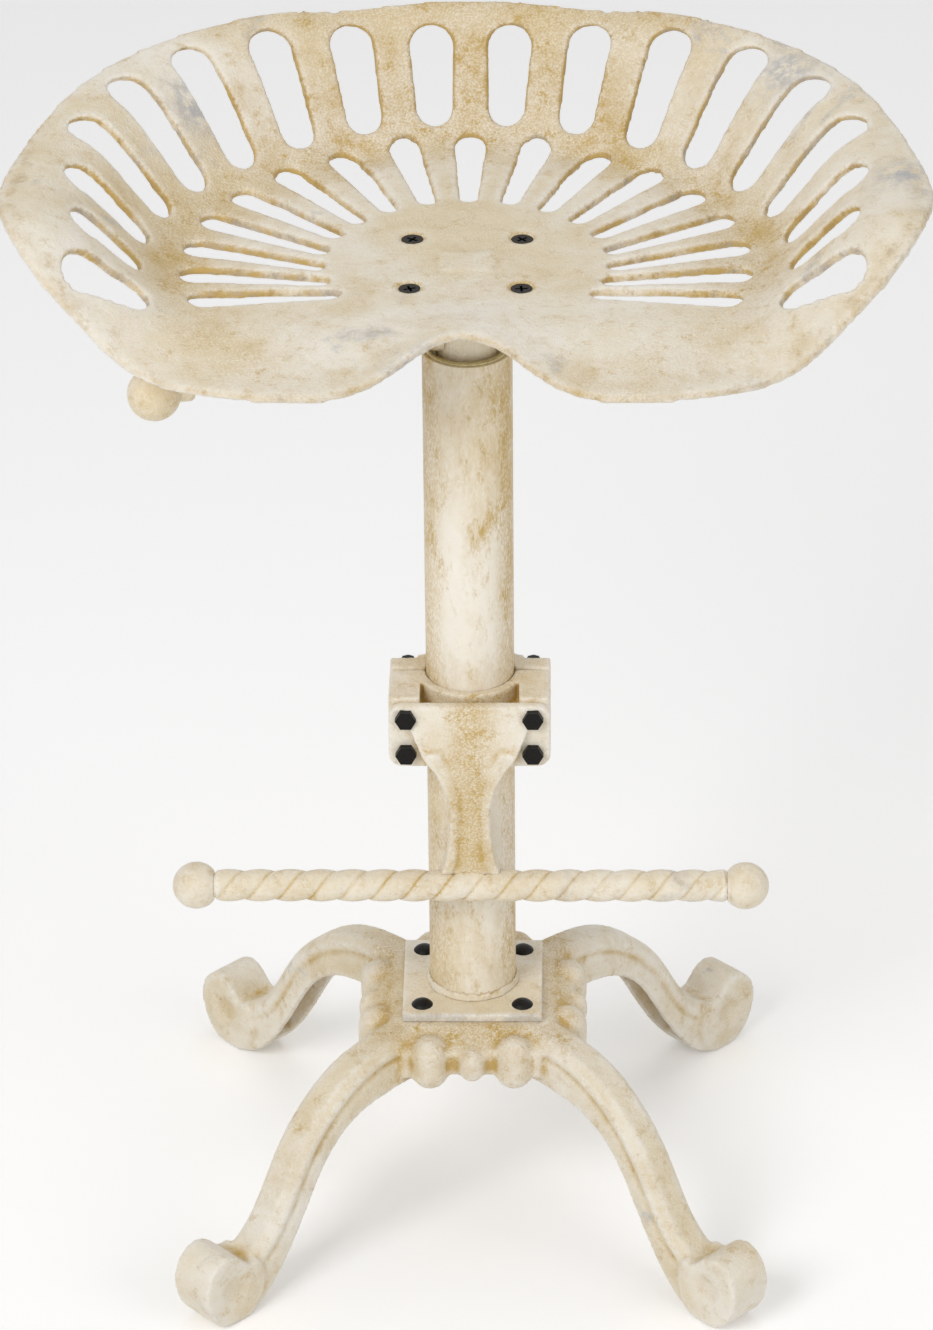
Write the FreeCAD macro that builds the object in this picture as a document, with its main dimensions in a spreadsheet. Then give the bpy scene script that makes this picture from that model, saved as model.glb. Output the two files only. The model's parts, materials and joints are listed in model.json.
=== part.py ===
"""Tractor seat stool: cast seat on a screw-lift post, with a clamped footrest and four cast legs.

Millimetres, +Z up, the front of the stool faces -Y. The origin is on the floor under the post.
The seat is modelled at its lowest height.
"""
import FreeCAD, Part
import os
from math import atan2, cos, degrees, hypot, pi, radians, sin, sqrt

os.makedirs("parts", exist_ok=True)
V = FreeCAD.Vector
UP = V(0, 0, 1)
doc = FreeCAD.newDocument("TractorSeatStool")

# Driving dimensions

sheet = doc.addObject("Spreadsheet::Sheet", "Sizes")
DIMENSIONS = [
    ("post_diameter", 48.3), ("post_wall", 2.6), ("post_top", 530), ("plate_top", 132),
    ("plate_side", 78), ("plate_thick", 5), ("base_bolt_gap", 56), ("base_bolt_size", 8),
    ("foot_reach", 195), ("leg_width", 24), ("foot_width", 28), ("hub_top", 127),
    ("column_diameter", 33.7), ("column_wall", 3.2), ("column_low", 330), ("column_top", 553),
    ("screw_diameter", 20), ("screw_low", 152), ("nut_low", 300), ("nut_height", 24),
    ("bush_height", 22), ("running_gap", 0.08), ("pintle_diameter", 20), ("washer_thick", 2),
    ("handle_height", 541), ("handle_reach", 173), ("handle_drop", 8), ("handle_angle", 200),
    ("handle_rod_size", 8), ("knob_diameter", 28.5),
    ("seat_height", 579), ("seat_thick", 5), ("seat_half_width", 240), ("seat_back", 197),
    ("seat_front", 129), ("seat_widest", -44), ("seat_dish", 147), ("side_rise", 50),
    ("back_rise", 64), ("seat_centre", 3), ("slot_fan", -27), ("slot_pitch", 11.9),
    ("seat_screw_gap", 58.4), ("seat_screw_size", 6),
    ("clamp_height", 313), ("clamp_tall", 40), ("clamp_wide", 88), ("clamp_bolt_gap", 69),
    ("clamp_bolt_rise", 22), ("clamp_bolt_size", 6), ("bar_height", 220), ("bar_forward", 43),
    ("bar_half_length", 151), ("bar_diameter", 16.6), ("ball_diameter", 26), ("twist_lead", 34),
]
for row, (alias, value) in enumerate(DIMENSIONS, start=1):
    sheet.set("A%d" % row, alias)
    sheet.set("B%d" % row, str(value))
    sheet.setAlias("B%d" % row, alias)
doc.recompute()


def size(alias):
    """The value of one driving dimension."""
    return float(getattr(sheet, alias))


def bind(piece, **expressions):
    """Ties properties of a piece to the sheet; x, y and z place it."""
    for prop, expression in expressions.items():
        path = "Placement.Base." + prop if prop in ("x", "y", "z") else prop
        piece.setExpression(path, expression)
    return piece


def cylinder(name, radius, height, **place):
    """A round bar, upright unless it is laid down later."""
    return bind(doc.addObject("Part::Cylinder", name), Radius=radius, Height=height, **place)


def cone(name, low_radius, high_radius, height, **place):
    """A tapered round bar."""
    piece = doc.addObject("Part::Cone", name)
    return bind(piece, Radius1=low_radius, Radius2=high_radius, Height=height, **place)


def sphere(name, radius, **place):
    """A ball."""
    return bind(doc.addObject("Part::Sphere", name), Radius=radius, **place)


def box(name, length, width, height, **place):
    """A block, placed by its lowest corner."""
    return bind(doc.addObject("Part::Box", name), Length=length, Width=width, Height=height, **place)


def hexagon(name, across_flats, height, z):
    """A six-sided prism."""
    prism = doc.addObject("Part::Prism", name)
    prism.Polygon = 6
    return bind(prism, Circumradius="%g" % (across_flats / sqrt(3)), Height="%g" % height, z=z)


def cut(name, base, tool):
    """The base piece less the tool."""
    piece = doc.addObject("Part::Cut", name)
    piece.Base = base
    piece.Tool = tool
    return piece


def common(name, base, tool):
    """What two pieces share."""
    piece = doc.addObject("Part::Common", name)
    piece.Base = base
    piece.Tool = tool
    return piece


def fuse(name, *pieces):
    """Several solids joined into one piece."""
    piece = doc.addObject("Part::MultiFuse", name)
    piece.Shapes = pieces
    piece.Refine = True
    return piece


def ring(name, inner, outer, height, z):
    """A flat ring, washer or tube about the post's axis."""
    return cut(name, cylinder(name + "_outside", outer, height, z=z),
               cylinder(name + "_inside", inner, "(%s) * 2 + 40" % height, z="%s - 20" % z))


def shaped(name, shape):
    """A piece whose form needs the surface and curve functions."""
    piece = doc.addObject("Part::Feature", name)
    piece.Shape = shape
    return piece


def square_points(gap, centre_y=0.0):
    """The four corners of a square bolt pattern."""
    half = gap / 2
    return [V(x, centre_y + y, 0) for x in (-half, half) for y in (-half, half)]


CORNERS = [(-1, -1), (-1, 1), (1, -1), (1, 1)]


def at_corners(name, make, gap, centre_y="0"):
    """Four pieces at the corners of a square, kept together."""
    group = doc.addObject("Part::Compound", name)
    links = []
    for number, (side_x, side_y) in enumerate(CORNERS):
        one = make("%s_%d" % (name, number))
        across = "%d * %s / 2" % (side_x, gap)
        along = "%d * %s / 2 + %s" % (side_y, gap, centre_y)
        links.append(bind(one, x=across, y=along))
    group.Links = links
    return group


def revolved(points):
    """A turned piece from (radius, height) points about the Z axis."""
    wire = Part.makePolygon([V(r, 0, z) for r, z in points + points[:1]])
    return Part.Face(wire).revolve(V(0, 0, 0), UP, 360)


def capsule(start, end, start_radius, end_radius, across, depth):
    """A tapered slot cutter between two round ends, made through a wall along its normal."""
    along = (end - start).normalize()
    normal = along.cross(across).normalize()
    side = across * 1.0
    lean = (start_radius - end_radius) / (end - start).Length
    swing = sqrt(1 - lean * lean)

    def rim(centre, radius, sign):
        return centre + along * (radius * lean) + side * (sign * radius * swing)

    far_tip = end + along * end_radius
    near_tip = start - along * start_radius
    edges = [Part.makeLine(rim(start, start_radius, 1), rim(end, end_radius, 1)),
             Part.Arc(rim(end, end_radius, 1), far_tip, rim(end, end_radius, -1)).toShape(),
             Part.makeLine(rim(end, end_radius, -1), rim(start, start_radius, -1)),
             Part.Arc(rim(start, start_radius, -1), near_tip, rim(start, start_radius, 1)).toShape()]
    face = Part.Face(Part.Wire(edges))
    face.translate(normal * -depth)
    return face.extrude(normal * (2 * depth))


def smooth(value):
    """A soft step from 0 to 1."""
    value = min(max(value, 0.0), 1.0)
    return value * value * (3 - 2 * value)


# Legs: one casting with four S-curved legs, scroll feet and a hub with lobes between the legs


def spline(points, y=0.0, **ends):
    """A smooth edge through points of the leg's side view: reach and height."""
    curve = Part.BSplineCurve()
    curve.interpolate(Points=[V(reach, y, height) for reach, height in points], **ends)
    return curve.toShape()


def inset(points, depth):
    """The same line moved sideways, to its right as it is drawn."""
    moved = []
    for i, (reach, height) in enumerate(points):
        before = points[max(i - 1, 0)]
        after = points[min(i + 1, len(points) - 1)]
        run, climb = after[0] - before[0], after[1] - before[1]
        length = hypot(run, climb)
        moved.append((reach + depth * climb / length, height - depth * run / length))
    return moved


def shin_lines():
    """The outer and the inner line of a leg, from the hub down to the crotch of the foot."""
    reach = size("foot_reach")
    top = size("hub_top") - 1
    outer = [(40, top), (70, top - 1), (100, top - 7), (122, top - 20), (140, top - 38),
             (153, top - 58), (164, top - 76), (reach - 16, 36)]
    inner = [(40, 97), (reach - 125, 96), (reach - 92, 90), (reach - 73, 76), (reach - 58, 54),
             (reach - 44, 31), (reach - 32, 15), (reach - 20, 4), (reach - 8, 0)]
    return outer, inner


def leg_section(y, bevel):
    """The closed side view of one leg, from the hub out to the scroll foot, at one place in its width."""
    reach = size("foot_reach")
    outer, inner = shin_lines()
    shin = inset(outer, bevel)
    curl = [shin[-1], (reach - 9, 35 - bevel / 2), (reach - 2, 42 - bevel), (reach + 9, 46 - bevel),
            (reach + 20 - bevel, 38 - bevel / 2), (reach + 23 - bevel, 25), (reach + 19 - bevel / 2, 11),
            (reach + 13, 3.4), (reach + 6, 0)]
    edges = [spline(shin, y), spline(curl, y), Part.makeLine(V(reach + 6, y, 0), V(reach - 8, y, 0)),
             spline(inner[::-1], y),
             Part.makeLine(V(40, y, 97), V(shin[0][0], y, shin[0][1]))]
    return Part.Wire(edges)


def leg():
    """One leg along +X: bevelled, with a bead line down each side, hollow behind, and a dished scroll."""
    half = size("leg_width") / 2
    foot_half = size("foot_width") / 2
    reach = size("foot_reach")
    face = half - 5
    outer, inner = shin_lines()
    shin = Part.makeLoft([leg_section(-half, BEVEL), leg_section(-face, 0), leg_section(face, 0),
                          leg_section(half, BEVEL)], True, True)
    foot = Part.Face(leg_section(-foot_half, 0)).extrude(V(0, 2 * foot_half, 0))
    scroll = Part.makeCylinder(26, 2 * foot_half, V(reach + 6, -foot_half, 21), V(0, 1, 0))
    body = shin.fuse(foot.common(scroll))
    channel_wall = 4.0
    back = inset(inner, -12)[1:7]
    mouth = inset(inner, 8)[1:7]
    hollow = Part.Face(Part.Wire([
        spline(back), Part.makeLine(V(back[-1][0], 0, back[-1][1]), V(mouth[-1][0], 0, mouth[-1][1])),
        spline(mouth[::-1]), Part.makeLine(V(mouth[0][0], 0, mouth[0][1]), V(back[0][0], 0, back[0][1]))]))
    hollow.translate(V(0, channel_wall - half, 0))
    body = body.cut(hollow.extrude(V(0, 2 * (half - channel_wall), 0)))
    for side in (-1, 1):
        rims = []
        for y, spread in ((half + 0.5, GROOVE_WIDE), (half - GROOVE_DEEP, 0.5)):
            low_line = inset(outer, BEVEL + 5 + spread)[1:]
            high_line = inset(outer, BEVEL + 5 - spread)[1:]
            corners = [V(line[i][0], side * y, line[i][1]) for line, i in (
                (low_line, 0), (high_line, 0), (low_line, -1), (high_line, -1))]
            rims.append(Part.Wire([spline(low_line, side * y), Part.makeLine(corners[2], corners[3]),
                                   spline(high_line[::-1], side * y),
                                   Part.makeLine(corners[1], corners[0])]))
        body = body.cut(Part.makeLoft(rims, True, True))
        dish = Part.makeSphere(22, V(reach + 2, side * (foot_half + 19.5), 24))
        body = body.cut(dish)
    return body


def hub_block():
    """The eight-sided hub: straight walls with a roof that slopes up to the plate."""
    top = size("hub_top")
    wires = []
    for wall, corner, height in ((57, 38, top - 24), (58, 38, top - 8), (42, 35, top)):
        ring_points = []
        for quarter in range(4):
            c, s = [(1, 0), (0, 1), (-1, 0), (0, -1)][quarter]
            for along in (-corner, corner):
                ring_points.append(V(wall * c - along * s, wall * s + along * c, height))
        wires.append(Part.makePolygon(ring_points + ring_points[:1]))
    return Part.makeLoft(wires, True, True)


def lobe(radius, height, centre):
    """An upright boss with round ends."""
    rise = height / 2 - radius
    side = Part.makeLine(V(radius, 0, -rise), V(radius, 0, rise))
    slant = radius / sqrt(2)
    roof = Part.Arc(V(radius, 0, rise), V(slant, 0, rise + slant), V(0, 0, rise + radius)).toShape()
    base = Part.Arc(V(0, 0, -rise - radius), V(slant, 0, -rise - slant), V(radius, 0, -rise)).toShape()
    axis = Part.makeLine(V(0, 0, rise + radius), V(0, 0, -rise - radius))
    return Part.Face(Part.Wire([side, roof, axis, base])).revolve(V(0, 0, 0), UP, 360).translated(centre)


def leg_casting():
    """The hub with its lobes and bosses, and the four legs."""
    top = size("hub_top")
    added = []
    one_leg = leg()
    for quarter in range(4):
        ornaments = [lobe(10.6, 32, V(-23.5, -53.6, top - 16.5)), lobe(10.6, 32, V(23.5, -53.6, top - 16.5)),
                     lobe(7, 20, V(0, -57.4, top - 16))]
        ornaments += [Part.makeCylinder(2.4, 17, V(x, -56.6, top - 25)) for x in (-36.5, 36.5)]
        added += [shape.rotated(V(0, 0, 0), UP, 90 * quarter) for shape in ornaments]
        added.append(one_leg.rotated(V(0, 0, 0), UP, 90 * quarter + 45))
    body = hub_block().fuse(added)
    body = body.cut(Part.makeCylinder(HUB_BORE, 40, V(0, 0, top - HUB_DECK - 40)))
    for place in square_points(size("base_bolt_gap")):
        body = body.cut(Part.makeCylinder(size("base_bolt_size") / 2 + 0.3, 60, place + V(0, 0, top - 40)))
        body = body.cut(Part.makeCylinder(9.6, 40, place + V(0, 0, top - HUB_DECK - 40)))
    return body


BEVEL = 5.0
GROOVE_WIDE = 2.6
GROOVE_DEEP = 2.1
HUB_DECK = 8.0
HUB_BORE = 43.0
shaped("leg_casting", leg_casting())

# Base: a square plate bolted on the casting, with the post welded to it

DECK = "(Sizes.plate_top - Sizes.plate_thick - %g)" % HUB_DECK


def bolt_hole(name):
    """A clearance hole for a base bolt."""
    return cylinder(name, "Sizes.base_bolt_size / 2 + 0.3", "20", z="Sizes.plate_top - 10")


plate = box("plate_blank", "Sizes.plate_side", "Sizes.plate_side", "Sizes.plate_thick",
            x="-Sizes.plate_side / 2", y="-Sizes.plate_side / 2", z="Sizes.plate_top - Sizes.plate_thick")
cut("base_plate", plate, at_corners("plate_holes", bolt_hole, "Sizes.base_bolt_gap"))

post_solid = cylinder("post_solid", "Sizes.post_diameter / 2", "Sizes.post_top - Sizes.plate_top",
                      z="Sizes.plate_top")
post_hollow = cylinder("post_hollow", "Sizes.post_diameter / 2 - Sizes.post_wall", "Sizes.post_top",
                       z="Sizes.plate_top")
cut("post_tube", post_solid, post_hollow)

WELD = 5.5
weld_cone = cone("weld_cone", "Sizes.post_diameter / 2 + %g" % WELD, "Sizes.post_diameter / 2 + 0.4",
                 "%g" % WELD, z="Sizes.plate_top")
cut("post_weld_bead", weld_cone, cylinder("weld_inside", "Sizes.post_diameter / 2", "20",
                                          z="Sizes.plate_top - 5"))

DOME_WIDTH = 12.0
DOME_RISE = 3.2
DOME_RADIUS = (DOME_WIDTH ** 2 / 4 + DOME_RISE ** 2) / (2 * DOME_RISE)
BOLT_LENGTH = "Sizes.plate_thick + %g" % (HUB_DECK + 8)
WASHER = 1.6
NUT = 6.0


def base_bolt(name):
    """A round-headed bolt down through the plate and the casting."""
    dome = sphere(name + "_dome", "%g" % DOME_RADIUS, z="Sizes.plate_top + %g" % (DOME_RISE - DOME_RADIUS))
    rim = cylinder(name + "_rim", "%g" % DOME_WIDTH, "%g" % (2 * DOME_RISE), z="Sizes.plate_top")
    shank = cylinder(name + "_shank", "Sizes.base_bolt_size / 2", BOLT_LENGTH,
                     z="Sizes.plate_top - (%s)" % BOLT_LENGTH)
    return fuse(name, common(name + "_head", dome, rim), shank)


def base_washer(name):
    """A washer under the casting's deck."""
    return ring(name, "Sizes.base_bolt_size / 2 + 0.2", "Sizes.base_bolt_size", "%g" % WASHER,
                "%s - %g" % (DECK, WASHER))


def base_nut(name):
    """A nut under its washer."""
    low = "%s - %g" % (DECK, WASHER + NUT)
    blank = hexagon(name + "_blank", 13, NUT, low)
    return cut(name, blank, cylinder(name + "_bore", "Sizes.base_bolt_size / 2", "20", z="%s - 1" % low))


at_corners("base_bolts", base_bolt, "Sizes.base_bolt_gap")
at_corners("base_washers", base_washer, "Sizes.base_bolt_gap")
at_corners("base_nuts", base_nut, "Sizes.base_bolt_gap")

# Inside the post: the bush that guides the column, and the nut that the lift screw turns in

POST_BORE = "Sizes.post_diameter / 2 - Sizes.post_wall"
COLUMN = "Sizes.column_diameter / 2"
COLUMN_BORE = "Sizes.column_diameter / 2 - Sizes.column_wall"
SCREW = "Sizes.screw_diameter / 2"
ring("top_bush", COLUMN + " + Sizes.running_gap", POST_BORE, "Sizes.bush_height",
     "Sizes.post_top - 2 - Sizes.bush_height")
NUT_TAPER = 6.0
nut_body = cylinder("nut_body", POST_BORE, "Sizes.nut_height - %g" % NUT_TAPER, z="Sizes.nut_low")
nut_taper = cone("nut_taper", POST_BORE, POST_BORE + " - 5", "%g" % NUT_TAPER,
                 z="Sizes.nut_low + Sizes.nut_height - %g" % NUT_TAPER)
cut("lift_nut", fuse("nut_blank", nut_body, nut_taper),
    cylinder("nut_thread", SCREW + " + Sizes.running_gap", "Sizes.nut_height + 20", z="Sizes.nut_low - 10"))

# Spindle: the column that rises out of the post, its screw, and the handle that turns it

DROOP = "atan(Sizes.handle_drop / Sizes.handle_reach)"


def on_handle(piece, distance):
    """Lays an upright piece along the drooping handle, its foot at a distance from the post's axis."""
    turn = "Sizes.handle_angle * 1 deg"
    out = "(%s) * cos(%s)" % (distance, DROOP)
    foot = "vector(%s * cos(%s); %s * sin(%s); Sizes.handle_height - (%s) * sin(%s))" % (
        out, turn, out, turn, distance, DROOP)
    piece.setExpression("Placement", "placement(%s; rotation(%s; 90 deg + %s; 0 deg))" % (foot, turn, DROOP))
    return piece


column = ring("column_tube", COLUMN_BORE, COLUMN, "Sizes.column_top - Sizes.column_low", "Sizes.column_low")
cut("lift_column", column, on_handle(cylinder("handle_hole", "Sizes.handle_rod_size / 2", "60"), "0"))

PLUG = 24.0
SHOULDER = 2.0
screw_tip = cone("screw_tip", "%s - %g" % (SCREW, SHOULDER), SCREW, "%g" % SHOULDER, z="Sizes.screw_low")
screw_body = cylinder("screw_body", SCREW, "Sizes.column_low - Sizes.screw_low - %g" % SHOULDER,
                      z="Sizes.screw_low + %g" % SHOULDER)
screw_head = cylinder("screw_head", "%s - %g" % (SCREW, SHOULDER), "%g" % PLUG, z="Sizes.column_low")
fuse("lift_screw", screw_tip, screw_body, screw_head)
ring("screw_plug", "%s - %g" % (SCREW, SHOULDER), COLUMN_BORE, "%g" % PLUG, "Sizes.column_low")
ring("guide_collar", COLUMN, POST_BORE + " - 0.1", "18", "Sizes.column_low")

PINTLE = "Sizes.pintle_diameter / 2"
PAN_UNDER = "(Sizes.seat_height - Sizes.seat_thick - 1)"
RING_DEPTH = 1.2
cap_plug = cylinder("cap_plug", COLUMN_BORE, "12", z="Sizes.column_top - 12")
cap_rim = cylinder("cap_rim", COLUMN, "3", z="Sizes.column_top")
pintle_pin = cylinder("pintle_pin", PINTLE, PAN_UNDER + " - 1.2 - Sizes.column_top", z="Sizes.column_top")
RING_SEAT = "%s - %g" % (PINTLE, RING_DEPTH)
pin_groove = ring("pin_groove", RING_SEAT, PINTLE + " + 1", "1.8", PAN_UNDER + " - 4.2")
cut("pintle_cap", fuse("cap_blank", cap_plug, cap_rim, pintle_pin), pin_groove)
ring("retaining_ring", RING_SEAT, PINTLE + " + 2.6", "1.6", PAN_UNDER + " - 4.1")
ring("thrust_washer", PINTLE + " + Sizes.running_gap", COLUMN, "Sizes.washer_thick", "Sizes.column_top + 3.1")

ROD = "Sizes.handle_rod_size / 2"
NECK = "(Sizes.handle_reach - Sizes.knob_diameter / 2 - 6)"
NECK_DEPTH = 8.0
rod_start = COLUMN_BORE + " + 1"
on_handle(cylinder("handle_rod", ROD, "%s + %g - (%s)" % (NECK, NECK_DEPTH, rod_start)), rod_start)

BOSS_FOOT = COLUMN + " - 1"
boss_flare = on_handle(cone("boss_flare", "9", ROD + " + 1.6", "10"), BOSS_FOOT)
boss_bore = on_handle(cylinder("boss_bore", ROD, "30"), COLUMN + " - 10")
column_skin = cylinder("column_skin", COLUMN, "80", z="Sizes.handle_height - 40")
cut("handle_boss", cut("boss_drilled", boss_flare, boss_bore), column_skin)

knob_ball = on_handle(sphere("knob_ball", "Sizes.knob_diameter / 2"), "Sizes.handle_reach")
knob_lip = on_handle(cone("knob_lip", "7", "7.6", "1.5"), NECK)
knob_neck = on_handle(cone("knob_neck", "7.6", "6.4", "10"), NECK + " + 1.5")
knob_socket = on_handle(cylinder("knob_socket", ROD, "%g" % NECK_DEPTH), NECK)
cut("handle_knob", fuse("knob_blank", knob_ball, knob_lip, knob_neck), knob_socket)

# Seat flange: it turns freely on the pintle under the seat

FLANGE_SIDE = 78.0
FLANGE_THICK = 6.0
flange_low = "(Sizes.column_top + 3.2 + Sizes.washer_thick)"
flange_plate = box("flange_plate", "%g" % FLANGE_SIDE, "%g" % FLANGE_SIDE, "%g" % FLANGE_THICK,
                   x="-%g" % (FLANGE_SIDE / 2), y="Sizes.seat_centre - %g" % (FLANGE_SIDE / 2),
                   z="%s - %g" % (PAN_UNDER, FLANGE_THICK))
hub_rise = "%s - %g - %s" % (PAN_UNDER, FLANGE_THICK, flange_low)
flange_hub = cylinder("flange_hub", "19", hub_rise, z=flange_low)
flange_bore = cylinder("flange_bore", PINTLE + " + Sizes.running_gap", "40", z="Sizes.column_top")
ring_room = cylinder("ring_room", PINTLE + " + 4", "10", z=PAN_UNDER + " - 4.4")


def flange_hole(name):
    """A clearance hole for a seat screw."""
    return cylinder(name, "Sizes.seat_screw_size / 2 + 0.2", "40", z=PAN_UNDER + " - 30")


flange_holes = at_corners("flange_holes", flange_hole, "Sizes.seat_screw_gap", "Sizes.seat_centre")
flange_tools = doc.addObject("Part::Compound", "flange_tools")
flange_tools.Links = [flange_bore, flange_holes]
flange_turned = cut("flange_turned", fuse("flange_blank", flange_plate, flange_hub), ring_room)
cut("seat_flange", flange_turned, flange_tools)

SCREW_SINK = 1.2
SCREW_CONE = 3.2
SCREW_HEAD = 6.0
SCREW_LENGTH = 22.0
screw_top = size("seat_height") - SCREW_SINK
screw_face = "Sizes.seat_height - %g" % SCREW_SINK


def seat_screw(name):
    """A countersunk screw."""
    head = cone(name + "_head", "Sizes.seat_screw_size / 2", "%g" % SCREW_HEAD, "%g" % SCREW_CONE,
                z="%s - %g" % (screw_face, SCREW_CONE))
    shank = cylinder(name + "_shank", "Sizes.seat_screw_size / 2", "%g" % (SCREW_LENGTH - SCREW_CONE + 0.2),
                     z="%s - %g" % (screw_face, SCREW_LENGTH))
    return fuse(name, head, shank)


def seat_nut(name):
    """A nut under the flange."""
    low = "%s - %g" % (PAN_UNDER, FLANGE_THICK + 5)
    blank = hexagon(name + "_blank", 10, 5, low)
    return cut(name, blank, cylinder(name + "_bore", "Sizes.seat_screw_size / 2", "20", z="%s - 1" % low))


at_corners("seat_screws", seat_screw, "Sizes.seat_screw_gap", "Sizes.seat_centre")
at_corners("seat_nuts", seat_nut, "Sizes.seat_screw_gap", "Sizes.seat_centre")

# Seat: a thin cast pan, flat in the middle, with a tall back, flared sides and two thigh lobes

half_width = size("seat_half_width")
back = size("seat_back")
widest = size("seat_widest")
dish = size("seat_dish")
middle = size("seat_centre")
seat_under = size("seat_height") - size("seat_thick") - 1
ROUNDNESS = 2.6


def rim_radius(angle):
    """How far the rim lies from the seat's centre in one direction."""
    near, far = dish + 2, 2 * half_width
    for _ in range(30):
        mid = (near + far) / 2
        x = mid * cos(angle)
        y = middle + mid * sin(angle) - widest
        inside = (abs(x) / half_width) ** ROUNDNESS + (abs(y) / (back - widest)) ** ROUNDNESS < 1
        near, far = (mid, far) if inside else (near, mid)
    return near


def pan_height(x, y):
    """Height of the pan's upper face."""
    distance = hypot(x, y - middle)
    angle = atan2(y - middle, x)
    rim = rim_radius(angle)
    sideways = cos(angle) ** 4
    share = max(distance - dish, 0) / (rim - dish)
    flare = smooth(share / 0.8)
    soft = 0.12
    climb = (sqrt(share * share + soft * soft) - soft) / (sqrt(1 + soft * soft) - soft)
    wall = 1 - max(1 - climb, 0) ** 1.5
    rise = size("back_rise") + (size("side_rise") - size("back_rise")) * sideways
    turn = degrees(atan2(middle - y, abs(x)))
    front_fade = 1 - smooth((turn - 10) / 29)
    height = rise * front_fade * (sideways * flare + (1 - sideways) * wall)
    forward = smooth((-60 - y) / 72)
    lobes = smooth(abs(x) / 70)
    ridge = 4 * smooth((-35 - y) / 50) * (1 - smooth(abs(x) / 55))
    return size("seat_height") + height - 11 * forward * lobes + ridge


def pan_normal(x, y):
    """Unit normal of the pan's upper face."""
    step = 0.5
    slope_x = (pan_height(x + step, y) - pan_height(x - step, y)) / (2 * step)
    slope_y = (pan_height(x, y + step) - pan_height(x, y - step)) / (2 * step)
    return V(-slope_x, -slope_y, 1).normalize()


def pan_slab():
    """A thick curved sheet that covers the whole plan of the seat."""
    columns, rows = 25, 19
    low_y = -size("seat_front") - 22
    upper, lower = [], []
    for i in range(columns):
        x = (half_width + 22) * (2 * i / (columns - 1) - 1)
        line = [V(x, y, pan_height(x, y)) for y in
                [low_y + (back + 22 - low_y) * j / (rows - 1) for j in range(rows)]]
        upper.append(line)
        lower.append([point - pan_normal(point.x, point.y) * size("seat_thick") for point in line])
    faces = []
    for grid in (upper, lower):
        surface = Part.BSplineSurface()
        surface.interpolate(grid)
        faces.append(surface.toShape())
    for u, v in ((0, None), (1, None), (None, 0), (None, 1)):
        sides = []
        for face in faces:
            surface = face.Surface
            u0, u1, v0, v1 = surface.bounds()
            curve = surface.uIso([u0, u1][u]) if v is None else surface.vIso([v0, v1][v])
            sides.append(curve.toShape())
        faces.append(Part.makeRuledSurface(sides[0], sides[1]))
    shell = Part.makeShell(faces)
    shell.sewShape()
    return Part.makeSolid(shell)


def seat_outline():
    """The rim seen from above, with the notch between the thigh lobes at the front."""
    front = -size("seat_front")
    half = [(half_width, widest), (half_width - 20, widest - 34), (half_width - 39, widest - 46),
            (half_width - 77, front + 17), (137, front + 7), (95, front), (58, front + 4), (36, front + 17),
            (17, front + 34), (0, front + 41)]
    rear = []
    for turn in range(0, 91, 15):
        c, s = cos(radians(turn)), sin(radians(turn))
        rear.append((half_width * c ** (2 / ROUNDNESS), widest + (back - widest) * s ** (2 / ROUNDNESS)))
    right = half[::-1] + rear[1:]
    points = right + [(-x, y) for x, y in right[-2:0:-1]]
    curve = Part.BSplineCurve()
    curve.interpolate(Points=[V(x, y, 0) for x, y in points], PeriodicFlag=True)
    return Part.Face(Part.Wire(curve.toShape()))


def slots():
    """Two staggered fans of tapered slots: a long one in the flat of the pan, a wide one in its wall."""
    cutters = []
    fan = V(0, size("slot_fan"), 0)

    def at_radius(direction, radius):
        """The point on the fan's ray that lies at a radius from the seat's centre."""
        across = direction.dot(fan - V(0, middle, 0))
        return fan + direction * (-across + sqrt(across * across + radius ** 2 - (fan.y - middle) ** 2))

    for k in range(-8, 9):
        turn = radians(90 + k * size("slot_pitch"))
        direction = V(cos(turn), sin(turn), 0)
        start = at_radius(direction, 79) + V(0, 0, size("seat_height"))
        end = at_radius(direction, dish - 4) + V(0, 0, size("seat_height"))
        cutters.append(capsule(start, end, 4.5, 8.0, V(-sin(turn), cos(turn), 0), 25))
    for k in range(-9, 9):
        turn = radians(90 + (k + 0.5) * size("slot_pitch"))
        direction = V(cos(turn), sin(turn), 0)
        inner = at_radius(direction, 154 + 17 * (1 - sin(turn)))
        guess = at_radius(direction, 200)
        away = atan2(guess.y - middle, guess.x)
        from_rear = away - pi / 2 if away > -pi / 2 else away + 3 * pi / 2
        margin = 12 + 25 * smooth((degrees(abs(from_rear)) - 65) / 35)
        outer = at_radius(direction, rim_radius(away) - margin)
        inner.z = pan_height(inner.x, inner.y)
        outer.z = pan_height(outer.x, outer.y)
        along = (outer - inner).normalize()
        wide_end, narrow_end = 11.5, 9.5
        start = inner + along * narrow_end
        end = outer - along * wide_end
        cutters.append(capsule(start, end, narrow_end, wide_end, V(-sin(turn), cos(turn), 0), 20))
    return cutters


UNDER_PAD = 84.0
PAD_WIDE = 26.0
PAD_DEEP = 21.0
PAD_RISE = 0.8


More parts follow.
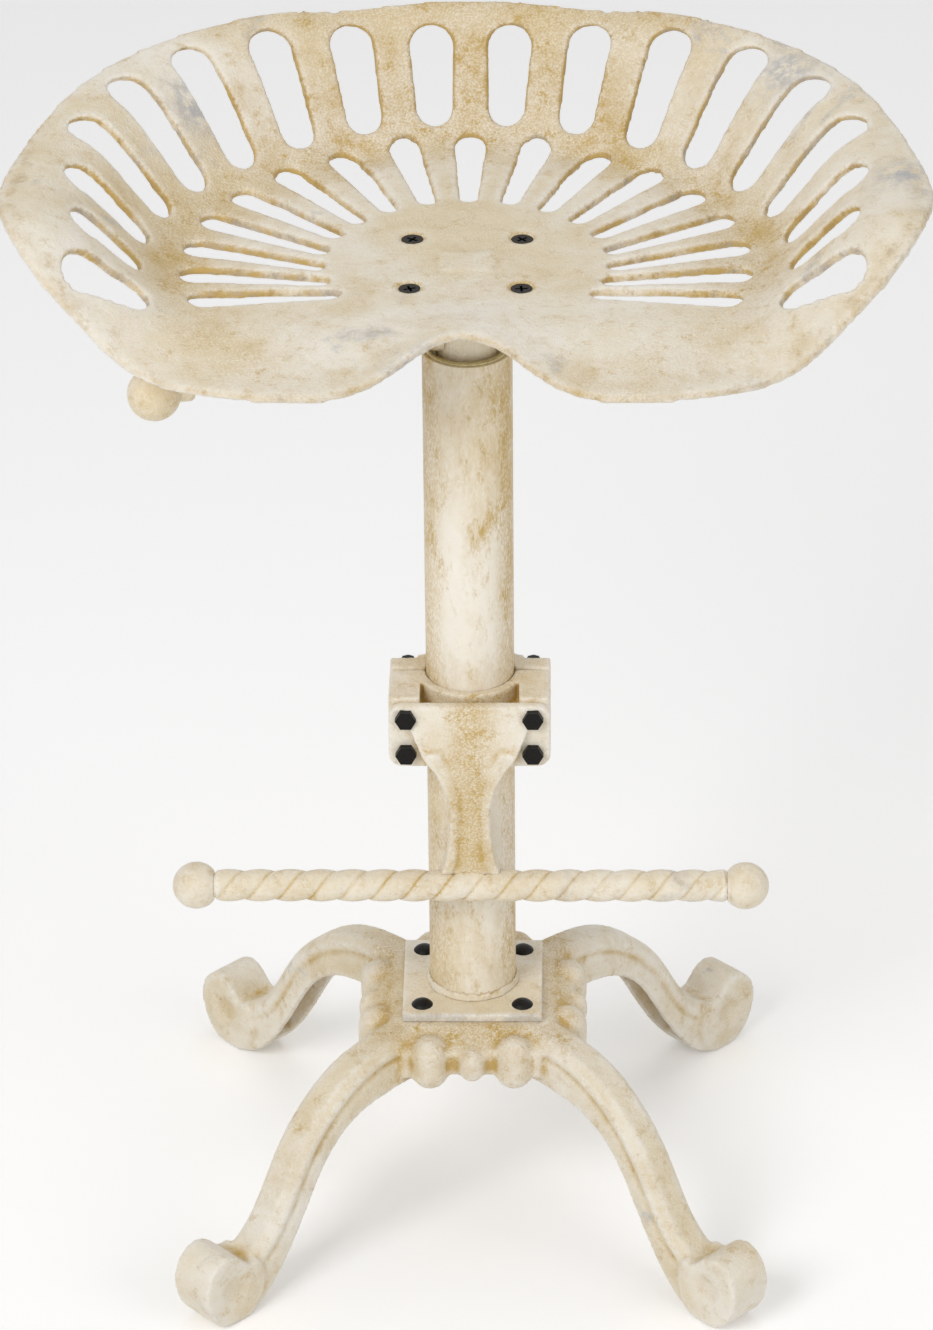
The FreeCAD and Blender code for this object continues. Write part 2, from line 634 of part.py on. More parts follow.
def seat_pan():
    """The pan with its rim, mounting pad, slots and countersunk holes."""
    outline = seat_outline()
    outline.translate(V(0, 0, 520))
    pan = pan_slab().common(outline.extrude(V(0, 0, 160)))
    seat_bed = Part.makeBox(UNDER_PAD, UNDER_PAD, 4, V(-UNDER_PAD / 2, middle - UNDER_PAD / 2, seat_under))
    centre_pad = Part.makeBox(PAD_WIDE, PAD_DEEP, 3 + PAD_RISE,
                              V(-PAD_WIDE / 2, middle - PAD_DEEP / 2, size("seat_height") - 3))
    pan = pan.fuse([seat_bed, centre_pad])
    for tool in slots():
        pan = pan.cut(tool)
    shank = size("seat_screw_size") / 2 + 0.3
    rim = SCREW_HEAD + 0.2
    hole = revolved([(0, -30), (shank, -30), (shank, -SCREW_CONE - 0.2), (rim, 0), (rim, 8), (0, 8)])
    for place in square_points(size("seat_screw_gap"), middle):
        pan = pan.cut(hole.translated(place + V(0, 0, screw_top)))
    return pan.removeSplitter()


shaped("seat_pan", seat_pan())

# Footrest: two clamp halves round the post, a bracket, and a twisted bar with ball ends

SPLIT = 1.0
EAR_FRONT = 32.0
EAR_REAR = 16.0
SADDLE = 6.0
PLATE_DEPTH = 6.0
CLAMP_LOW = "Sizes.clamp_height - Sizes.clamp_tall / 2"


def at_clamp_holes(name, make, y):
    """Four pieces along the clamp's bolts, their feet at one depth, kept together."""
    group = doc.addObject("Part::Compound", name)
    links = []
    for number, (side_x, side_z) in enumerate(CORNERS):
        one = make("%s_%d" % (name, number))
        x = "%d * Sizes.clamp_bolt_gap / 2" % side_x
        z = "Sizes.clamp_height + %d * Sizes.clamp_bolt_rise / 2" % side_z
        foot = "vector(%s; %g; %s)" % (x, y, z)
        one.setExpression("Placement", "placement(%s; rotation(0 deg; 0 deg; -90 deg))" % foot)
        links.append(one)
    group.Links = links
    return group


def clamp_hole(name):
    """A clearance hole for a clamp bolt."""
    return cylinder(name, "Sizes.clamp_bolt_size / 2 + 0.3", "120")


def rounded(name, base, radius, wanted):
    """The base piece with the wanted edges rounded."""
    doc.recompute()
    piece = doc.addObject("Part::Fillet", name)
    piece.Base = base
    piece.Edges = [(number, radius, radius) for number, edge in enumerate(base.Shape.Edges, start=1)
                   if wanted(edge.BoundBox)]
    return piece


def clamp_half(name, depth, side):
    """Two ears and the saddle between them; side is -1 at the front and 1 at the back."""
    near = SPLIT if side > 0 else -depth
    reach = 60.0
    far = SPLIT if side > 0 else -SPLIT - reach
    ears = box(name + "_ears", "Sizes.clamp_wide", "%g" % (depth - SPLIT), "Sizes.clamp_tall",
               x="-Sizes.clamp_wide / 2", y="%g" % near, z=CLAMP_LOW)
    wall = "Sizes.post_diameter / 2 + %g" % SADDLE
    sleeve = cylinder(name + "_sleeve", wall, "Sizes.clamp_tall", z=CLAMP_LOW)
    room = box(name + "_room", "%g" % (2 * reach), "%g" % reach, "Sizes.clamp_tall",
               x="-%g" % reach, y="%g" % far, z=CLAMP_LOW)
    blank = fuse(name + "_blank", ears, common(name + "_saddle", sleeve, room))
    bore = cylinder(name + "_bore", "Sizes.post_diameter / 2 + 0.3", "Sizes.clamp_tall + 40",
                    z=CLAMP_LOW + " - 20")
    drilled = cut(name + "_drilled", cut(name + "_bored", blank, bore),
                  at_clamp_holes(name + "_holes", clamp_hole, -60))
    half_wide, tall = size("clamp_wide") / 2, size("clamp_tall")

    def outer_corner(bounds):
        at_end = abs(bounds.Center.x) > half_wide - 0.1
        return at_end and bounds.ZLength > tall - 1 and bounds.XLength < 0.1 and bounds.YLength < 0.1

    return rounded(name, drilled, 3, outer_corner)


clamp_half("clamp_front_half", EAR_FRONT, -1)
clamp_half("clamp_rear_half", EAR_REAR, 1)

STEM_DEPTH = 14.0
STEM_WEB = 11.5


def bracket_stem():
    """The waisted stem with its raised sides, from the plate down to the bar."""
    clamp_low = size("clamp_height") - size("clamp_tall") / 2
    top = clamp_low + 12
    low = size("bar_height") + 4
    half = [(27, top), (17, clamp_low - 4), (11.2, clamp_low - 24), (11.2, clamp_low - 32),
            (13.5, low + 14), (18.5, low)]

    def waist(share):
        """The stem's outline, its width scaled by a share."""
        right = Part.BSplineCurve()
        right.interpolate([V(x * share, 0, z) for x, z in half])
        left = Part.BSplineCurve()
        left.interpolate([V(-x * share, 0, z) for x, z in half])
        foot = Part.makeLine(V(half[-1][0] * share, 0, low), V(-half[-1][0] * share, 0, low))
        head = Part.makeLine(V(-half[0][0] * share, 0, top), V(half[0][0] * share, 0, top))
        return Part.Face(Part.Wire([right.toShape(), foot, left.toShape(), head]))

    stem = waist(1).translated(V(0, -EAR_FRONT - STEM_DEPTH, 0)).extrude(V(0, STEM_DEPTH, 0))
    hollow = waist(0.62).translated(V(0, -EAR_FRONT - STEM_DEPTH - STEM_WEB, 0)).extrude(V(0, STEM_DEPTH, 0))
    return stem.cut(hollow)


bracket_plate = box("bracket_plate", "Sizes.clamp_wide", "%g" % PLATE_DEPTH, "Sizes.clamp_tall - 2",
                    x="-Sizes.clamp_wide / 2", y="-%g" % (EAR_FRONT + PLATE_DEPTH), z=CLAMP_LOW)
bracket_round = rounded("bracket_round", bracket_plate, 7, lambda bounds: bounds.YLength > PLATE_DEPTH - 0.1)
bracket_blank = fuse("bracket_blank", bracket_round, shaped("bracket_stem", bracket_stem()))
bar_seat = cylinder("bar_seat", "Sizes.bar_diameter / 2 + 0.15", "60")
bar_seat.setExpression("Placement", "placement(vector(-30; -Sizes.bar_forward; Sizes.bar_height); "
                                    "rotation(0 deg; 90 deg; 0 deg))")
cut("footrest_bracket", cut("bracket_seated", bracket_blank, bar_seat),
    at_clamp_holes("bracket_holes", clamp_hole, -60))

SPIGOT = 6.0
SPIGOT_RADIUS = 5.0
FLAT = 3.0
SIDES = 20
STEPS_PER_LEAD = 8
GROOVE = 1.6
BAR_END = "(Sizes.bar_half_length - Sizes.ball_diameter / 2 + %g)" % FLAT


def bar_twist():
    """The twisted length: sections with two grooves that turn on their way along the bar."""
    radius = size("bar_diameter") / 2
    end = size("bar_half_length") - size("ball_diameter") / 2 + FLAT
    steps = int(2 * end / size("twist_lead") * STEPS_PER_LEAD)
    sections = []
    for i in range(steps + 1):
        x = -end + 2 * end * i / steps
        turn = -2 * pi * x / size("twist_lead")
        points = []
        for k in range(SIDES):
            angle = 2 * pi * k / SIDES
            reach = radius - GROOVE * cos(angle) ** 4
            points.append(V(x, -size("bar_forward") + reach * cos(angle + turn),
                            size("bar_height") + reach * sin(angle + turn)))
        sections.append(Part.makePolygon(points + points[:1]))
    return Part.makeLoft(sections, True, True)


def on_bar(piece, distance, side):
    """Lays an upright piece along the bar, out from its middle to one side."""
    piece.setExpression("Placement", "placement(vector(%d * (%s); -Sizes.bar_forward; Sizes.bar_height); "
                                     "rotation(0 deg; %d deg; 0 deg))" % (side, distance, 90 * side))
    return piece


bar_pieces = [shaped("bar_twist", bar_twist())]
for side, word in ((-1, "left"), (1, "right")):
    bar_pieces.append(on_bar(cylinder(word + "_spigot", "%g" % SPIGOT_RADIUS, "%g" % (SPIGOT + 1)),
                             BAR_END + " - 1", side))
    ball = on_bar(sphere(word + "_ball_blank", "Sizes.ball_diameter / 2"), "Sizes.bar_half_length", side)
    flat = on_bar(cylinder(word + "_ball_flat", "Sizes.ball_diameter", "20"), BAR_END + " - 20", side)
    socket = on_bar(cylinder(word + "_ball_socket", "%g" % SPIGOT_RADIUS, "%g" % (SPIGOT + 1)),
                    BAR_END + " - 1", side)
    cut(word + "_bar_ball", cut(word + "_ball_faced", ball, flat), socket)
fuse("footrest_bar", *bar_pieces)

HEAD = 4.2
ACORN_BASE = 5.0
ACORN_DOME = 4.6


def clamp_bolt(name):
    """A hexagon-headed bolt through the bracket and both clamp halves."""
    head = hexagon(name + "_head", 10, HEAD, "0")
    length = EAR_FRONT + PLATE_DEPTH + EAR_REAR + 7 + HEAD
    return fuse(name, head, cylinder(name + "_shank", "Sizes.clamp_bolt_size / 2", "%g" % length))


def acorn_nut(name):
    """A domed nut on its flange."""
    base = hexagon(name + "_base", 10, ACORN_BASE, "0")
    dome = sphere(name + "_dome", "%g" % ACORN_DOME, z="%g" % (ACORN_BASE + 0.5))
    flange = cylinder(name + "_flange", "6.5", "1.2")
    bore = cylinder(name + "_bore", "Sizes.clamp_bolt_size / 2", "7.5")
    return cut(name, fuse(name + "_blank", base, dome, flange), bore)


at_clamp_holes("clamp_bolts", clamp_bolt, -EAR_FRONT - PLATE_DEPTH - HEAD)
at_clamp_holes("clamp_acorn_nuts", acorn_nut, EAR_REAR)

# Write every piece of the stool

PIECES = ["leg_casting", "base_plate", "post_tube", "post_weld_bead", "base_bolts", "base_washers",
          "base_nuts", "top_bush", "lift_nut", "lift_column", "lift_screw", "screw_plug", "guide_collar",
          "pintle_cap", "retaining_ring", "thrust_washer", "handle_rod", "handle_boss", "handle_knob", "seat_flange",
          "seat_screws", "seat_nuts", "seat_pan", "clamp_front_half", "clamp_rear_half", "footrest_bracket",
          "footrest_bar", "left_bar_ball", "right_bar_ball", "clamp_bolts", "clamp_acorn_nuts"]
doc.recompute()
for item in doc.Objects:
    if "Invalid" in item.State or "Error" in item.State:
        raise RuntimeError("%s failed: %s" % (item.Name, item.State))
for name in PIECES:
    shape = doc.getObject(name).Shape
    if shape.isNull() or not shape.isValid() or not shape.Solids:
        raise RuntimeError("%s has no valid solid" % name)
    print(name, len(shape.Solids), round(shape.Volume), [round(v, 1) for v in (
        shape.BoundBox.XMin, shape.BoundBox.YMin, shape.BoundBox.ZMin,
        shape.BoundBox.XMax, shape.BoundBox.YMax, shape.BoundBox.ZMax)])
    shape.exportStep("parts/%s.step" % name)
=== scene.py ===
"""Tractor seat stool: softened castings, fine fittings and aged cream paint over its solid model."""

import json
import math

import bpy
import numpy as np
from bpy.props import FloatProperty, FloatVectorProperty, IntProperty, PointerProperty
from mathutils import Matrix, Vector, noise

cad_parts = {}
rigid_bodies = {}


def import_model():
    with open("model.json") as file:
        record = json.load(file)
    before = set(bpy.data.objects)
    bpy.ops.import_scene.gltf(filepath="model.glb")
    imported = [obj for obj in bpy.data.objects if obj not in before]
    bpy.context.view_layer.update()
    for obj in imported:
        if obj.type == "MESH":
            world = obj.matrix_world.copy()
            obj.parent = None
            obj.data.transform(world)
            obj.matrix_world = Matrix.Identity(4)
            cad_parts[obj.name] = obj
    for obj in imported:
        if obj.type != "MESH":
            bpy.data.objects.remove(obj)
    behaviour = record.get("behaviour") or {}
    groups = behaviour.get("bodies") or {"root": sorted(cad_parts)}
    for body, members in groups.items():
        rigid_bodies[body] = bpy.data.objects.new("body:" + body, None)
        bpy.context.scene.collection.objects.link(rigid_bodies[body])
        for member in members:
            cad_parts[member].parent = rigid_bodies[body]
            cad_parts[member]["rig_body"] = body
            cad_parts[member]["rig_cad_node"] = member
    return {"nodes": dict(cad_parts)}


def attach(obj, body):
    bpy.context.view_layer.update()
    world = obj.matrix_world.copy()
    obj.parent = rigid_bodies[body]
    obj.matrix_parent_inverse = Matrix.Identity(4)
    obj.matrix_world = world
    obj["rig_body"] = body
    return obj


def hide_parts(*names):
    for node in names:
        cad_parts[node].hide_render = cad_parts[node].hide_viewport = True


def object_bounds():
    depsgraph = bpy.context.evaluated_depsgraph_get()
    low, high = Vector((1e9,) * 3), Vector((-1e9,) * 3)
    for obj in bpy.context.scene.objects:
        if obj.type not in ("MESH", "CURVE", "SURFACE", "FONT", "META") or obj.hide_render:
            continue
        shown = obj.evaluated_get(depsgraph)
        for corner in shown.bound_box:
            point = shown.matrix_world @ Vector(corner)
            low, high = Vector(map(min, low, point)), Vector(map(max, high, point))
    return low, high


bl_info = {
    "name": "Tractor Seat Stool",
    "version": (1, 0, 0),
    "blender": (4, 5, 0),
    "location": "View3D > Sidebar > Stool",
    "description": "Dresses a cast tractor seat stool in aged cream paint and adds its fine forms",
    "category": "Object",
}

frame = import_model()
CAD_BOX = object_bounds()

MM = 0.001
X, Y, Z = range(3)

# the four seat screws stand on a square, with its middle a little behind the axis of the post
SCREW_PATTERN = 58.4 * MM
SCREW_CENTRE = 3 * MM

# what the paint reads from a piece's mesh, and its coats of colour
MASKS = ("Hollow", "Edge", "Wall", "Tint", "Thin")
COATS = ("Cream", "Ivory", "Ochre", "Umber", "Slate")

PAINTS = {
    "seat paint": {"wash": 0.75, "cool": 0.55, "grain": 1.0, "bump": 0.6},
    "leg paint": {"wash": 0.85, "cool": 0.6, "grain": 1.0, "bump": 0.6, "offset": (3, 1, 2)},
    # the post's side sets painted shade that gathers in ochre towards the tube's left and right sides
    "post paint": {"wash": 1.05, "cool": 0.12, "grain": 0.6, "bump": 0.4, "offset": (5, 2, 8),
                   "stretch": (1, 1, 0.45), "side": 24 * MM},
    "fitting paint": {"wash": 0.8, "cool": 0.35, "grain": 0.9, "bump": 0.5, "offset": (9, 4, 1)},
}
METALS = {
    "black steel": {"coat": "black", "metallic": 0.85, "roughness": 0.3, "scale": 900.0, "bump": 0.35},
    "guide brass": {"coat": "brass", "metallic": 0.9, "roughness": 0.3, "scale": 500.0, "bump": 0.2},
    "turned steel": {"coat": "steel", "metallic": 1.0, "roughness": 0.25, "scale": 700.0, "bump": 0.15},
}


class StoolPaint(bpy.types.PropertyGroup):
    """Colours of the aged paint and of the fittings."""
    cream: FloatVectorProperty(name="Cream", description="Top coat on the raised faces",
                               subtype="COLOR", default=(0.80, 0.685, 0.475), min=0, max=1)
    # the ivory on edges and high spots of the grain is partly painted highlight
    ivory: FloatVectorProperty(name="Ivory", description="Palest paint, on rubbed edges",
                               subtype="COLOR", default=(0.92, 0.87, 0.775), min=0, max=1)
    ochre: FloatVectorProperty(name="Ochre", description="Golden wash that sits in the recesses",
                               subtype="COLOR", default=(0.56, 0.375, 0.11), min=0, max=1)
    # the umber on the slots' walls is partly painted shade inside the slots
    umber: FloatVectorProperty(name="Umber", description="Dried crust of the wash on the slots' walls",
                               subtype="COLOR", default=(0.33, 0.205, 0.07), min=0, max=1)
    slate: FloatVectorProperty(name="Slate", description="Cool grey patches where the coat is thin",
                               subtype="COLOR", default=(0.44, 0.44, 0.46), min=0, max=1)
    black: FloatVectorProperty(name="Black", description="Bolts, nuts and screws",
                               subtype="COLOR", default=(0.012, 0.011, 0.010), min=0, max=1)
    brass: FloatVectorProperty(name="Brass", description="Guide bush at the top of the post",
                               subtype="COLOR", default=(0.42, 0.36, 0.20), min=0, max=1)
    steel: FloatVectorProperty(name="Steel", description="Turned pieces of the lift and the pintle",
                               subtype="COLOR", default=(0.50, 0.50, 0.49), min=0, max=1)


class StoolCasting(bpy.types.PropertyGroup):
    """How soft and how rough the castings are."""
    seat_cell: FloatProperty(name="Seat cell", description="Mesh size that rounds the seat's edges",
                             unit="LENGTH", default=1.8 * MM, min=0.5 * MM)
    leg_cell: FloatProperty(name="Leg cell", description="Mesh size that rounds the leg casting",
                            unit="LENGTH", default=1.43 * MM, min=0.5 * MM)
    small_cell: FloatProperty(name="Small cell", description="Mesh size on the base plate and the footrest",
                              unit="LENGTH", default=0.9 * MM, min=0.3 * MM)
    grain: FloatProperty(name="Grain", description="Depth of the sand-cast grain",
                         unit="LENGTH", default=0.16 * MM, min=0)
    rounds: IntProperty(name="Rounds", description="Smoothing passes over the legs, clamp and balls",
                        default=5, min=0)


class StoolCamera(bpy.types.PropertyGroup):
    """The viewpoint of the reference picture."""
    distance: FloatProperty(name="Distance", description="From the lens to the aim point",
                            unit="LENGTH", default=3.27708)
    elevation: FloatProperty(name="Elevation", description="Angle above the floor",
                             subtype="ANGLE", default=math.radians(30.16))
    azimuth: FloatProperty(name="Azimuth", description="Turn to the right of the front",
                           subtype="ANGLE", default=math.radians(1.17))
    roll: FloatProperty(name="Roll", description="Tilt of the horizon",
                        subtype="ANGLE", default=math.radians(-0.565))
    lens: FloatProperty(name="Lens", description="Focal length for a 36 mm sensor on the tall side",
                        default=162.32, min=10)
    aim_height: FloatProperty(name="Aim height", description="Height of the aim point",
                              unit="LENGTH", default=0.33521)
    aim_side: FloatProperty(name="Aim side", description="Aim point's offset to the right",
                            unit="LENGTH", default=-0.00195)


# Materials


def node_group(name, inputs, outputs):
    """A new shader node group with its sockets; returns the tree and its two ends."""
    group = bpy.data.node_groups.new(name, "ShaderNodeTree")
    for side, sockets in (("INPUT", inputs), ("OUTPUT", outputs)):
        for label, kind in sockets:
            group.interface.new_socket(name=label, in_out=side, socket_type="NodeSocket" + kind)
    return group, group.nodes.new("NodeGroupInput"), group.nodes.new("NodeGroupOutput")


def math_node(tree, operation, *operands):
    """One arithmetic step; each operand is a socket or a number."""
    node = tree.nodes.new("ShaderNodeMath")
    node.operation = operation
    for socket, operand in zip(node.inputs, operands):
        if isinstance(operand, (int, float)):
            socket.default_value = operand
        else:
            tree.links.new(operand, socket)
    return node.outputs[0]


def times(tree, first, second):
    """Two values multiplied."""
    return math_node(tree, "MULTIPLY", first, second)


def plus(tree, first, second):
    """Two values added."""
    return math_node(tree, "ADD", first, second)


def larger(tree, first, second):
    """The larger of two values."""
    return math_node(tree, "MAXIMUM", first, second)


def ramp(tree, value, low, high):
    """A soft 0 to 1 step of a value between two levels."""
    node = tree.nodes.new("ShaderNodeMapRange")
    node.interpolation_type = "SMOOTHSTEP"
    node.inputs["From Min"].default_value = low
    node.inputs["From Max"].default_value = high
    tree.links.new(value, node.inputs["Value"])
    return node.outputs["Result"]


def mix_colour(tree, share, first, second):
    """Mixes two colours, each a socket or a plain colour."""
    node = tree.nodes.new("ShaderNodeMix")
    node.data_type = "RGBA"
    sockets = {socket.identifier: socket for socket in node.inputs}
    tree.links.new(share, sockets["Factor_Float"])
    for key, colour in (("A_Color", first), ("B_Color", second)):
        if isinstance(colour, bpy.types.NodeSocket):
            tree.links.new(colour, sockets[key])
        else:
            sockets[key].default_value = (*colour, 1)
    return next(socket for socket in node.outputs if socket.identifier == "Result_Color")


def noise_at(tree, vector, scale, detail, roughness, distortion=0.0):
    """Noise on the piece's own coordinates."""
    node = tree.nodes.new("ShaderNodeTexNoise")
    node.inputs["Scale"].default_value = scale
    node.inputs["Detail"].default_value = detail
    node.inputs["Roughness"].default_value = roughness
    node.inputs["Distortion"].default_value = distortion
    tree.links.new(vector, node.inputs["Vector"])
    return node.outputs["Fac"]


def aged_paint_group():
    """Colour, roughness and height of cream paint that was washed with ochre and rubbed back."""
    inputs = [("Vector", "Vector")]
    inputs += [(label, "Float") for label in MASKS]
    inputs += [(label, "Color") for label in COATS]
    inputs += [(label, "Float") for label in ("Wash", "Cool", "Grain")]
    outputs = [("Color", "Color"), ("Roughness", "Float"), ("Height", "Float")]
    tree, start, end = node_group("Aged paint", inputs, outputs)
    given = start.outputs
    vector = given["Vector"]

    clouds = noise_at(tree, vector, scale=9.0, detail=5.0, roughness=0.65, distortion=0.1)
    patches = noise_at(tree, vector, scale=30.0, detail=7.0, roughness=0.74, distortion=0.25)
    brushed = noise_at(tree, vector, scale=110.0, detail=6.0, roughness=0.75, distortion=0.2)
    speckle = noise_at(tree, vector, scale=330.0, detail=4.0, roughness=0.75)
    sand = noise_at(tree, vector, scale=900.0, detail=3.0, roughness=0.65)
    thin = noise_at(tree, vector, scale=11.0, detail=6.0, roughness=0.62, distortion=1.4)

    # how much each kind of mark covers what lies under it
    high_cover = 0.75
    drift_cover = 0.42
    streak_cover = 0.30
    pit_cover = 0.42
    speck_cover = 0.40
    pool_cover = 0.8
    wall_cover = 0.85
    crust_and_wall_shade_cover = 0.45
    thin_cover = 0.9
    grey_cover = 0.5

    # marks that turn up also where no wash was laid
    stray_specks = 0.12
    stray_pits = 0.05

    # rubbed edges and high spots of the grain show the palest coat, partly worn paint and partly painted
    # highlight
    colour = mix_colour(tree, ramp(tree, clouds, 0.36, 0.66), given["Cream"], given["Ivory"])
    high = times(tree, ramp(tree, sand, 0.44, 0.66), ramp(tree, brushed, 0.34, 0.60))
    worn_and_highlit_edges = times(tree, given["Edge"], ramp(tree, speckle, 0.30, 0.55))
    pale = larger(tree, worn_and_highlit_edges, times(tree, high, high_cover))
    colour = mix_colour(tree, pale, colour, given["Ivory"])

    # the wash drifts over the faces, breaks up into specks and pools in hollows and on the slots' walls
    # on the post the Tint that joins the wash is painted shade towards the tube's sides
    laid_wash_and_side_shade_share = 0.3
    wash = plus(tree, given["Wash"], times(tree, given["Tint"], laid_wash_and_side_shade_share))
    drift = times(tree, ramp(tree, patches, 0.42, 0.72), wash)
    streak = times(tree, ramp(tree, brushed, 0.50, 0.74), wash)
    speck = times(tree, ramp(tree, speckle, 0.55, 0.70), plus(tree, drift, stray_specks))
    pits = times(tree, ramp(tree, sand, 0.62, 0.50), plus(tree, streak, stray_pits))
    tint_base = 0.20
    tint_in_pits = 0.42
    tint_cover = plus(tree, times(tree, ramp(tree, sand, 0.60, 0.42), tint_in_pits), tint_base)
    pooled = times(tree, given["Hollow"], ramp(tree, patches, 0.30, 0.62))
    lined = times(tree, given["Wall"], ramp(tree, patches, 0.22, 0.60))
    stain = times(tree, drift, drift_cover)
    for mark, cover in ((streak, streak_cover), (pits, pit_cover), (given["Tint"], tint_cover),
                        (speck, speck_cover), (pooled, pool_cover), (lined, wall_cover)):
        stain = plus(tree, stain, times(tree, mark, cover))
    colour = mix_colour(tree, stain, colour, given["Ochre"])

    # dark umber in places on the slots' walls: partly old wash dried darker, partly painted shade inside
    # the slots
    crust_and_wall_shade = times(tree, given["Wall"], ramp(tree, brushed, 0.50, 0.60))
    colour = mix_colour(tree, times(tree, crust_and_wall_shade, crust_and_wall_shade_cover), colour, given["Umber"])

    # cool grey shows through where the coat is thin; on the seat the Thin mask also holds painted shade
    # under the front notch's lip
    cool = times(tree, ramp(tree, thin, 0.60, 0.70), given["Cool"])
    cool = larger(tree, cool, times(tree, given["Thin"], thin_cover))
    # painted shade: grey on the slots' walls
    grey_wall_shade = times(tree, given["Wall"], ramp(tree, thin, 0.50, 0.58))
    cool = larger(tree, cool, times(tree, grey_wall_shade, grey_cover))
    cool = times(tree, cool, ramp(tree, brushed, 0.36, 0.58))
    colour = mix_colour(tree, cool, colour, given["Slate"])

    # matt where the patches are, and gritty at two sizes
    smoothest = 0.24
    patch_roughness = 0.25
    sand_height = 0.6
    speckle_height = 0.9
    roughness = plus(tree, times(tree, patches, patch_roughness), smoothest)
    height = plus(tree, times(tree, sand, sand_height), times(tree, speckle, speckle_height))
    tree.links.new(colour, end.inputs["Color"])
    tree.links.new(roughness, end.inputs["Roughness"])
    tree.links.new(times(tree, height, given["Grain"]), end.inputs["Height"])
    return tree


def painted_side_shade(tree, place, reach):
    """Painted shade: a mask that grows towards the left and right sides of an upright tube, where it turns
    away from the front.
    """
    clear_share = 0.45
    split = tree.nodes.new("ShaderNodeSeparateXYZ")
    tree.links.new(place, split.inputs["Vector"])
    return ramp(tree, math_node(tree, "ABSOLUTE", split.outputs["X"]), reach * clear_share, reach)


def new_material(name):
    """A new material, its shader, and the coordinates of the piece that wears it."""
    material = bpy.data.materials.new(name)
    material.use_nodes = True
    nodes = material.node_tree.nodes
    return material, nodes["Principled BSDF"], nodes.new("ShaderNodeTexCoord").outputs["Object"]


def emboss(material, height, strength, distance):
    """Makes a height stand out of the surface in the light."""
    tree = material.node_tree
    relief = tree.nodes.new("ShaderNodeBump")
    relief.inputs["Strength"].default_value = strength
    relief.inputs["Distance"].default_value = distance
    tree.links.new(height, relief.inputs["Height"])
    tree.links.new(relief.outputs["Normal"], tree.nodes["Principled BSDF"].inputs["Normal"])


def painted(name, wash, cool, grain, bump, offset=(0, 0, 0), stretch=(1, 1, 1), side=0):
    """One aged paint; the offset gives each piece its own patches, the stretch its streaks, and the side
    the reach of painted shade towards an upright tube's left and right sides.
    """
    paint = bpy.context.scene.stool_paint
    grain_depth = 1.6 * MM
    material, shader, place = new_material(name)
    tree = material.node_tree
    shift = tree.nodes.new("ShaderNodeMapping")
    shift.inputs["Location"].default_value = offset
    shift.inputs["Scale"].default_value = stretch
    tree.links.new(place, shift.inputs["Vector"])
    coat = tree.nodes.new("ShaderNodeGroup")
    coat.node_tree = bpy.data.node_groups.get("Aged paint") or aged_paint_group()
    tree.links.new(shift.outputs["Vector"], coat.inputs["Vector"])
    for mask in MASKS:
        # on an upright tube the Tint mask is painted shade towards its left and right sides
        if mask == "Tint" and side:
            tree.links.new(painted_side_shade(tree, place, side), coat.inputs[mask])
            continue
        read = tree.nodes.new("ShaderNodeAttribute")
        read.attribute_name = mask.lower()
        tree.links.new(read.outputs["Fac"], coat.inputs[mask])
    for label in COATS:
        coat.inputs[label].default_value = (*getattr(paint, label.lower()), 1)
    for label, amount in (("Wash", wash), ("Cool", cool), ("Grain", grain)):
        coat.inputs[label].default_value = amount
    tree.links.new(coat.outputs["Color"], shader.inputs["Base Color"])
    tree.links.new(coat.outputs["Roughness"], shader.inputs["Roughness"])
    emboss(material, coat.outputs["Height"], bump, grain_depth)
    return material


def metal(name, coat, metallic, roughness, scale, bump):
    """A plain metal with fine wear in its colour and roughness."""
    material, shader, place = new_material(name)
    tree = material.node_tree
    shader.inputs["Metallic"].default_value = metallic
    paler = 1.5
    lift = 0.004
    fresh = tuple(getattr(bpy.context.scene.stool_paint, coat))
    handled = [min(1, channel * paler + lift) for channel in fresh]
    wear = noise_at(tree, place, scale, detail=4.0, roughness=0.6)
    wear_roughness = 0.3
    wear_depth = 0.3 * MM
    colour = mix_colour(tree, ramp(tree, wear, 0.35, 0.75), fresh, handled)
    tree.links.new(colour, shader.inputs["Base Color"])
    tree.links.new(plus(tree, times(tree, wear, wear_roughness), roughness), shader.inputs["Roughness"])
    emboss(material, wear, bump, wear_depth)
    return material


def finish_with(piece, name):
    """Gives a piece one material all over, which is made when it is first asked for."""
    material = bpy.data.materials.get(name)
    if material is None:
        material = painted(name, **PAINTS[name]) if name in PAINTS else metal(name, **METALS[name])
    piece.data.materials.clear()
    piece.data.materials.append(material)


# Meshes


def select_only(piece):
    """Makes one piece the selected and active one."""
    for other in bpy.context.selected_objects:
        other.select_set(False)
    piece.select_set(True)
    bpy.context.view_layer.objects.active = piece


def copy_of(node, name):
    """A merged copy of a CAD node's mesh, as a new piece."""
    piece = frame["nodes"][node].copy()
    piece.data = piece.data.copy()
    piece.name = name
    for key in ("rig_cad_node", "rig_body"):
        if key in piece:
            del piece[key]
    piece.parent = None
    bpy.context.scene.collection.objects.link(piece)
    select_only(piece)
    bpy.ops.object.mode_set(mode="EDIT")
    bpy.ops.mesh.select_all(action="SELECT")
    bpy.ops.mesh.remove_doubles(threshold=0.01 * MM)
    bpy.ops.object.mode_set(mode="OBJECT")
    return piece


def apply_modifier(piece, kind, **settings):
    """Adds a modifier with its settings and applies it."""
    select_only(piece)
    modifier = piece.modifiers.new(kind.title(), kind)
    for key, value in settings.items():
        setattr(modifier, key, value)
    bpy.ops.object.modifier_apply(modifier=modifier.name)


def remesh(piece, cell, smooth_shade=False):
    """Draws a piece again as small even faces."""
    apply_modifier(piece, "REMESH", mode="VOXEL", voxel_size=cell, use_smooth_shade=smooth_shade)


